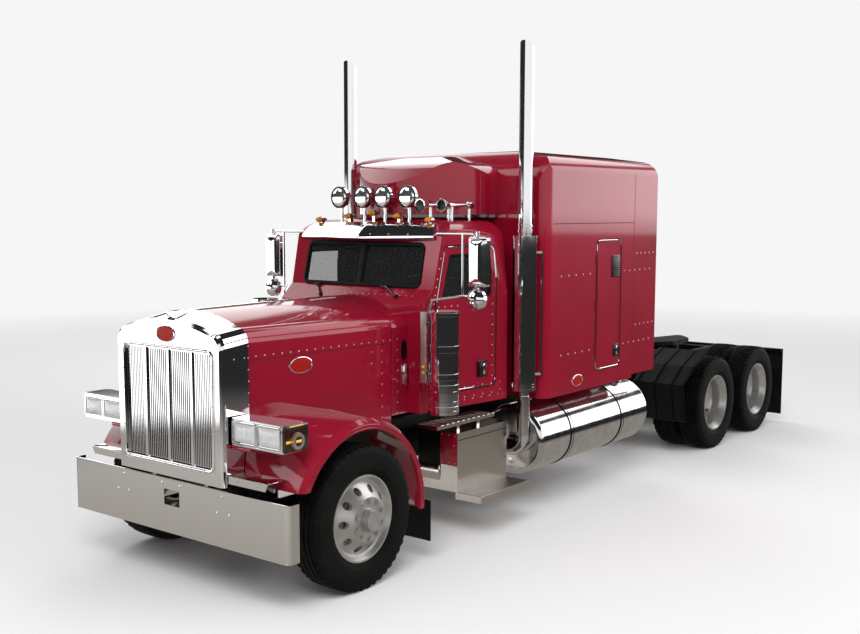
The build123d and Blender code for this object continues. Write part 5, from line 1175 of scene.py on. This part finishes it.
# ------------------------------------------------------------------ fender lips
# A rolled double bead along each front fender's wheel arch.
ARCH_Y, ARCH_Z = BUMPER_Y + 0.863, 0.551
lips = []
for radius, width, height in ((0.702, 0.014, 0.007), (0.678, 0.01, 0.005)):
    arc = [(ARCH_Y + radius * np.cos(angle), ARCH_Z + radius * np.sin(angle))
           for angle in np.radians(np.linspace(-2.0, 148.0, 60))]
    spots = facing(OUTWARD, [place for place, _ in flank("fenders", arc)])
    lips.append(bead(spots, width, height, False, 0.003))
piece("fender_beads", twin(*lips), "hood", crimson_lacquer)


# ------------------------------------------------------------------ rear end
# Red tail lamps with ribbed lenses behind a chrome rim, and bolt heads on the rear hanger.
TAIL = (0.52, 4.726, 0.9)
rings = [(0.001 + 0.0012 * (k % 2), 0.005 + 0.0048 * k) for k in range(7, -1, -1)]
lens = lathe([(-0.004, 0.046), (0.0, 0.044), *rings, (0.0, 0.0)], TAIL + AHEAD * 0.0015, ASTERN, 40)
piece("tail_lenses", twin(lens), "chassis", red_lens)
rim = [(-0.012, 0.0495), (-0.002, 0.0515), (0.001, 0.049), (0.0, 0.045), (-0.012, 0.045)]
chrome("tail_rims", twin(lathe(rim, TAIL, ASTERN, 40)))
hanger_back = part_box("rear_hanger")[1][1]
rivets("hanger_bolts",
       twin(studs(facing(ASTERN, [(x, hanger_back, 0.971) for x in (0.68, 0.82, 0.96, 1.1)]), 0.01, 0.006)))


# ------------------------------------------------------------------ exhaust clamps
# Rolled chrome caps and band clamps round each muffler and at the feet of the stacks.
MUFFLER = (1.048, -1.496)
caps = lathes([(-0.01, 0.109), (-0.008, 0.1145), (0.008, 0.1145), (0.01, 0.109)],
              [(*MUFFLER, z) for z in (1.236, 1.262, 2.556, 2.582)], UP, 96)
clamps = lathes([(-0.012, 0.062), (-0.01, 0.0695), (0.01, 0.0695), (0.012, 0.062)],
                [(*MUFFLER, z) for z in (1.13, 2.66, 2.7)], UP, 64)
chrome("exhaust_clamps", twin(caps, clamps))


# ------------------------------------------------------------------ cab and sleeper lining
# Inside the painted shell everything is dark: the skin's inner faces carry charcoal fabric.
def lined_links(middle):
    """The body's paint outside, and charcoal lining wherever a face looks at the room's middle."""
    def links(tree, position):
        outside = lacquer_links(tree, position)
        shape = add(tree, "NewGeometry").outputs
        away = add(tree, "VectorMath", {0: shape["Position"]}, {1: middle}, operation="SUBTRACT")
        facing_out = add(tree, "VectorMath", {0: away.outputs[0], 1: shape["True Normal"]},
                         operation="DOT_PRODUCT").outputs["Value"]
        inside = reckon(tree, "LESS_THAN", facing_out, 0.04)
        weave = spread(tree, noise(tree, position, 0.003), 0.7, 0.95)
        rough = add(tree, "Mix", {0: inside, 2: outside["Roughness"], 3: weave}, data_type="FLOAT")
        return {"Base Color": tinted(tree, inside, outside["Base Color"], "#1f1d1c"),
                "Roughness": rough.outputs[0], "Normal": outside["Normal"],
                "Coat Weight": reckon(tree, "SUBTRACT", 1.0, inside)}
    return links


for label, middle, names in (
        ("cab", (0.0, -2.1, 1.95), ["cab_sides", "cab_tub", "cab_roof", *both("door")]),
        ("scuttle", (0.0, -2.25, 1.55), ["cowl"]),
        ("sleeper", (0.0, -0.55, 2.3), ["sleeper_tub", "sleeper_sides", "sleeper_roof", *both("bunk_door")])):
    finish_nodes(plain("crimson_shell_lined_" + label, lined_links(middle), 0.1, LACQUER), *names)


# ------------------------------------------------------------------ seats, curtains and bunk
# Two air-sprung seats in black leather, with bolstered cushions, arm rests and head rests;
# grey pleated curtains hung at the sides of the cab's rear opening; a quilted mattress.
leather = plain("black_seat_leather", dusty("#2c2c2e", "#3c3c3f", 0.42, 0.0035), 0.05)
curtain_cloth = plain("grey_curtain_cloth", dusty("#36373a", "#4a4c4e", 0.85, 0.002), 0.0)
ticking = plain("mattress_ticking", dusty("#6a6862", "#8a877f", 0.85, 0.003), 0.0)


def cushion(x, y, z, swell, pleats=0, side=26):
    """A stuffed block between two x, y and z values: round edges, faces that swell, and pleats across it."""
    low, high = np.array([x, y, z]).T
    a, b = np.meshgrid(np.linspace(-1, 1, side), np.linspace(-1, 1, side), indexing="ij")
    sheets, quads = [], []
    for k in range(3):
        for face in (-1.0, 1.0):
            sheet = np.empty((side, side, 3))
            sheet[..., k], sheet[..., (k + 1) % 3], sheet[..., (k + 2) % 3] = face, a, b
            quads.append(net(side, side, False, False) + len(sheets) * side * side)
            sheets.append(sheet.reshape(-1, 3))
    cube = np.concatenate(sheets)
    shape = cube / ((np.abs(cube) ** 6).sum(1) ** (1 / 6))[:, None]
    shape = shape * (1 + swell * (1 - shape ** 4)[:, [1, 2, 0]] * (1 - shape ** 4)[:, [2, 0, 1]])
    if pleats:
        groove = np.abs(np.sin((cube[:, 0] + 1) / 2 * np.pi * pleats)) ** 0.35
        shape *= (0.965 + 0.035 * groove)[:, None]
    return (low + high) / 2 + shape * (high - low) / 2 / (1 + swell), np.concatenate(quads)


stuffed, hard = [], []
for x in (-0.43, 0.43):
    stuffed += [cushion((x - 0.225, x + 0.225), (-2.16, -1.715), (1.505, 1.662), 0.1, 7),
                cushion((x - 0.205, x + 0.205), (-1.812, -1.69), (1.64, 2.225), 0.1, 7),
                cushion((x - 0.14, x + 0.14), (-1.795, -1.7), (2.24, 2.425), 0.14)]
    for side in (-1, 1):
        bolster, arm_rest = (sorted((x + side * a, x + side * b)) for a, b in ((0.165, 0.232), (0.19, 0.234)))
        stuffed += [cushion(bolster, (-1.87, -1.705), (1.68, 2.19), 0.12),
                    cushion(arm_rest, (-2.11, -1.8), (1.8, 1.858), 0.12)]
        hard.append(pipe([(x + side * 0.06, -1.742, 2.18), (x + side * 0.06, -1.742, 2.3)], 0.008, 10))
    spring = [(0.0, 0.145), (0.03, 0.15), (0.075, 0.132), (0.12, 0.15), (0.165, 0.132), (0.21, 0.15),
              (0.255, 0.132), (0.3, 0.148)]
    hard += [lathe(spring, (x, -1.93, 1.184), UP, 40),
             brick((x - 0.2, x + 0.2), (-2.12, -1.74), (1.48, 1.512), 0.006)]
seat_pads = piece("seat_cushions", joined(stuffed), "chassis", leather, 60.0)
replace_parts(seat_pads, "seats")
plastic("seat_pedestals", joined(hard))
bed = piece("mattress", joined([cushion((-1.118, 1.118), (-0.718, 0.248), (1.7, 1.85), 0.03, 9, 60),
                                cushion((-1.08, -0.62), (-0.56, 0.12), (1.838, 1.94), 0.16)]),
            "chassis", ticking, 60.0)


def pleated(x0, x1, z0, z1, deep, waves, thick=0.003, rows=14):
    """A hanging curtain between two x values, gathered into waves: the points of both faces, and its form."""
    t = np.linspace(0, 1, waves * 10 + 1)
    run = np.stack([x0 + (x1 - x0) * t, RAIL_Y - 0.01 + 0.02 * t], -1)
    along = np.gradient(run, axis=0)
    along /= np.linalg.norm(along, axis=1)[:, None]
    out = np.stack([along[:, 1], -along[:, 0]], -1)
    layers = []
    for shift in (-thick / 2, thick / 2):
        grid = []
        for z in np.linspace(z1, z0, rows):
            fall = (z1 - z) / (z1 - z0)
            phase = t * waves * 2 * np.pi + 0.5 * np.sin(5 * t + 2 * fall)
            wave = deep * (0.75 + 0.25 * fall) * np.sin(phase)
            grid.append(np.column_stack([run + out * (wave + shift)[:, None], np.full(len(t), z)]))
        layers.append(np.array(grid))
    return layers, skirted(*layers)


RAIL_Y, RAIL_Z = -1.665, 2.535
CURTAIN_FOOT, CURTAIN_HEAD = 1.62, 2.532
piece("curtain_rail", pipe([(x, RAIL_Y, RAIL_Z) for x in (-0.86, -0.4, 0.4, 0.86)], 0.009),
      "chassis", linished_steel)
for label, x0, x1, waves in (("right", -0.84, -0.5, 5), ("left", 0.84, 0.56, 4)):
    (face, _), form = pleated(x0, x1, CURTAIN_FOOT, CURTAIN_HEAD, 0.022, waves)
    curtain = piece("curtain_" + label, form, "chassis", curtain_cloth, 60.0)


# ------------------------------------------------------------------ bellows
# A rubber bellows of six folds between the cab's back and the sleeper, flat at each end.
low, high = (np.array(corner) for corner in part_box("boot"))
FOLDS, FOLD_DEPTH, STATIONS = 6, 0.014, 73
outline = dense(box_line((-1, 1), (-1, 1), 0.18, 8), 0.12)
half, middle = (high - low) / 2, (high + low) / 2
stations = np.linspace(low[1] + 0.001, high[1] - 0.001, STATIONS)
rows = []
for skin, order in ((0.0, stations), (0.006, stations[::-1])):
    for y in order:
        t = (y - low[1]) / (high[1] - low[1])
        inset = skin + FOLD_DEPTH * (1 - np.cos(t * FOLDS * 2 * np.pi)) * (1 if 0.02 < t < 0.98 else 0)
        rows.append(np.column_stack([outline[:, 0] * (half[0] - inset), np.full(len(outline), y),
                                     middle[2] + outline[:, 1] * (half[2] - inset)]))
form = np.array(rows), net(len(rows), len(outline))
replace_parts(piece("bellows", form, "chassis", moulded_rubber, 60.0), "boot")


# ------------------------------------------------------------------ dashboard gauges
# Round black dials in chrome rims before the driver.
dials, dial_rims = [], []
for x, z, size in ((0.34, 2.02, 0.058), (0.5, 2.02, 0.058), (0.1, 2.03, 0.034), (0.19, 2.03, 0.034),
                   (0.1, 1.93, 0.034), (0.19, 1.93, 0.034)):
    spot = hit("dashboard", (x, -1.8, z), AHEAD)
    dials.append(lathe([(-0.002, size), (0.001, size), (0.002, 0.0)], *spot))
    rim = ((-0.002, 0.96), (0.004, 0.98), (0.006, 1.05), (0.004, 1.12), (-0.002, 1.12))
    dial_rims.append(lathe([(d, size * share) for d, share in rim], *spot))
plastic("gauge_dials", joined(dials))
chrome("gauge_rims", joined(dial_rims))


# ------------------------------------------------------------------ engine bay
# What shows when the hood tilts: an eight-bladed fan in its shroud behind the radiator, belt
# pulleys on the engine's nose, and a finned cover with bolts over each cylinder head.
FAN = np.array((0.0, -4.185, 1.27))
FAN_R, FAN_ROOT, BLADES, BLADE_ROWS = 0.335, 0.075, 8, 12
BLADE_HALF = 0.0015        # half its thickness
forms = []
for turned in np.arange(BLADES) * 2 * np.pi / BLADES:
    rows = []
    for t in np.linspace(0, 1, BLADE_ROWS):
        radius, pitch, chord = FAN_ROOT + (FAN_R - FAN_ROOT) * t, np.radians(48 - 22 * t), 0.075 + 0.035 * t
        skin = [(s * chord * np.cos(pitch), s * chord * 0.55 * np.sin(pitch) + 0.006 * (1 - s * s))
                for s in (-1, -0.5, 0, 0.5, 1)]
        loop = [(a, b + BLADE_HALF) for a, b in skin] + [(a, b - BLADE_HALF) for a, b in skin[::-1]]
        rows.append([FAN + (np.cos(turned) * radius - np.sin(turned) * a, b * 0.8,
                            np.sin(turned) * radius + np.cos(turned) * a) for a, b in loop])
    ends = [np.arange(10) + first for first in (0, 10 * (BLADE_ROWS - 1))]
    forms.append((np.array(rows), [*net(BLADE_ROWS, 10, False), *ends]))
HUB = [(-0.045, 0.06), (-0.04, 0.082), (0.03, 0.085), (0.045, 0.05), (0.12, 0.04)]
forms.append(lathe(HUB, FAN, ASTERN, 40))
plastic("fan", joined(forms))
shroud = [(-0.11, 0.353), (-0.105, 0.368), (0.035, 0.368), (0.045, 0.378), (0.05, 0.376), (0.04, 0.356),
          (-0.1, 0.349)]
plastic("fan_shroud", lathe(shroud, FAN, ASTERN, 72, shut=False))
engine_nose = hit("engine", (0.0, -4.3, 1.1), ASTERN)[0][1]
pulleys = []
for x, z, r in ((0.0, 1.27, 0.095), (0.0, 0.86, 0.12), (0.205, 1.18, 0.06), (-0.2, 1.06, 0.07)):
    groove = [(-0.002, r), (0.004, r), (0.009, r - 0.008), (0.014, r), (0.019, r), (0.024, r - 0.008),
              (0.029, r), (0.034, r - 0.01), (0.034, r * 0.4), (0.04, r * 0.35)]
    pulleys.append(lathe(groove, (x, engine_nose, z), AHEAD, 40))
piece("belt_pulleys", joined(pulleys), "chassis", linished_steel)
BELT = [(0.0, 0.74), (0.115, 0.83), (0.262, 1.165), (0.215, 1.238), (0.0, 1.366), (-0.085, 1.32),
        (-0.268, 1.075), (-0.25, 1.01), (-0.118, 0.84)]
rubber("fan_belt", pipe([(x, engine_nose - 0.0145, z) for x, z in dense(BELT, 0.06)], 0.006, 6, True))
covers, cover_bolts = [], []
for y in np.linspace(-3.96, -2.96, 6):
    top = hit("engine", (0.0, y, 3.0), -UP)[0][2]
    covers.append(brick((-0.15, 0.15), (y - 0.085, y + 0.085), (top - 0.002, top + 0.004), 0.002, 1))
    covers += [brick((-0.12, 0.12), (fin - 0.005, fin + 0.005), (top + 0.003, top + 0.009), 0.002, 1)
               for fin in np.linspace(y - 0.055, y + 0.055, 5)]
    cover_bolts += [(x, y + step, top + 0.004) for x in (-0.136, 0.136) for step in (-0.07, 0.07)]
piece("head_covers", joined(covers), "chassis", cast_iron)
rivets("head_cover_bolts", studs(facing(UP, cover_bolts), 0.007, 0.004))
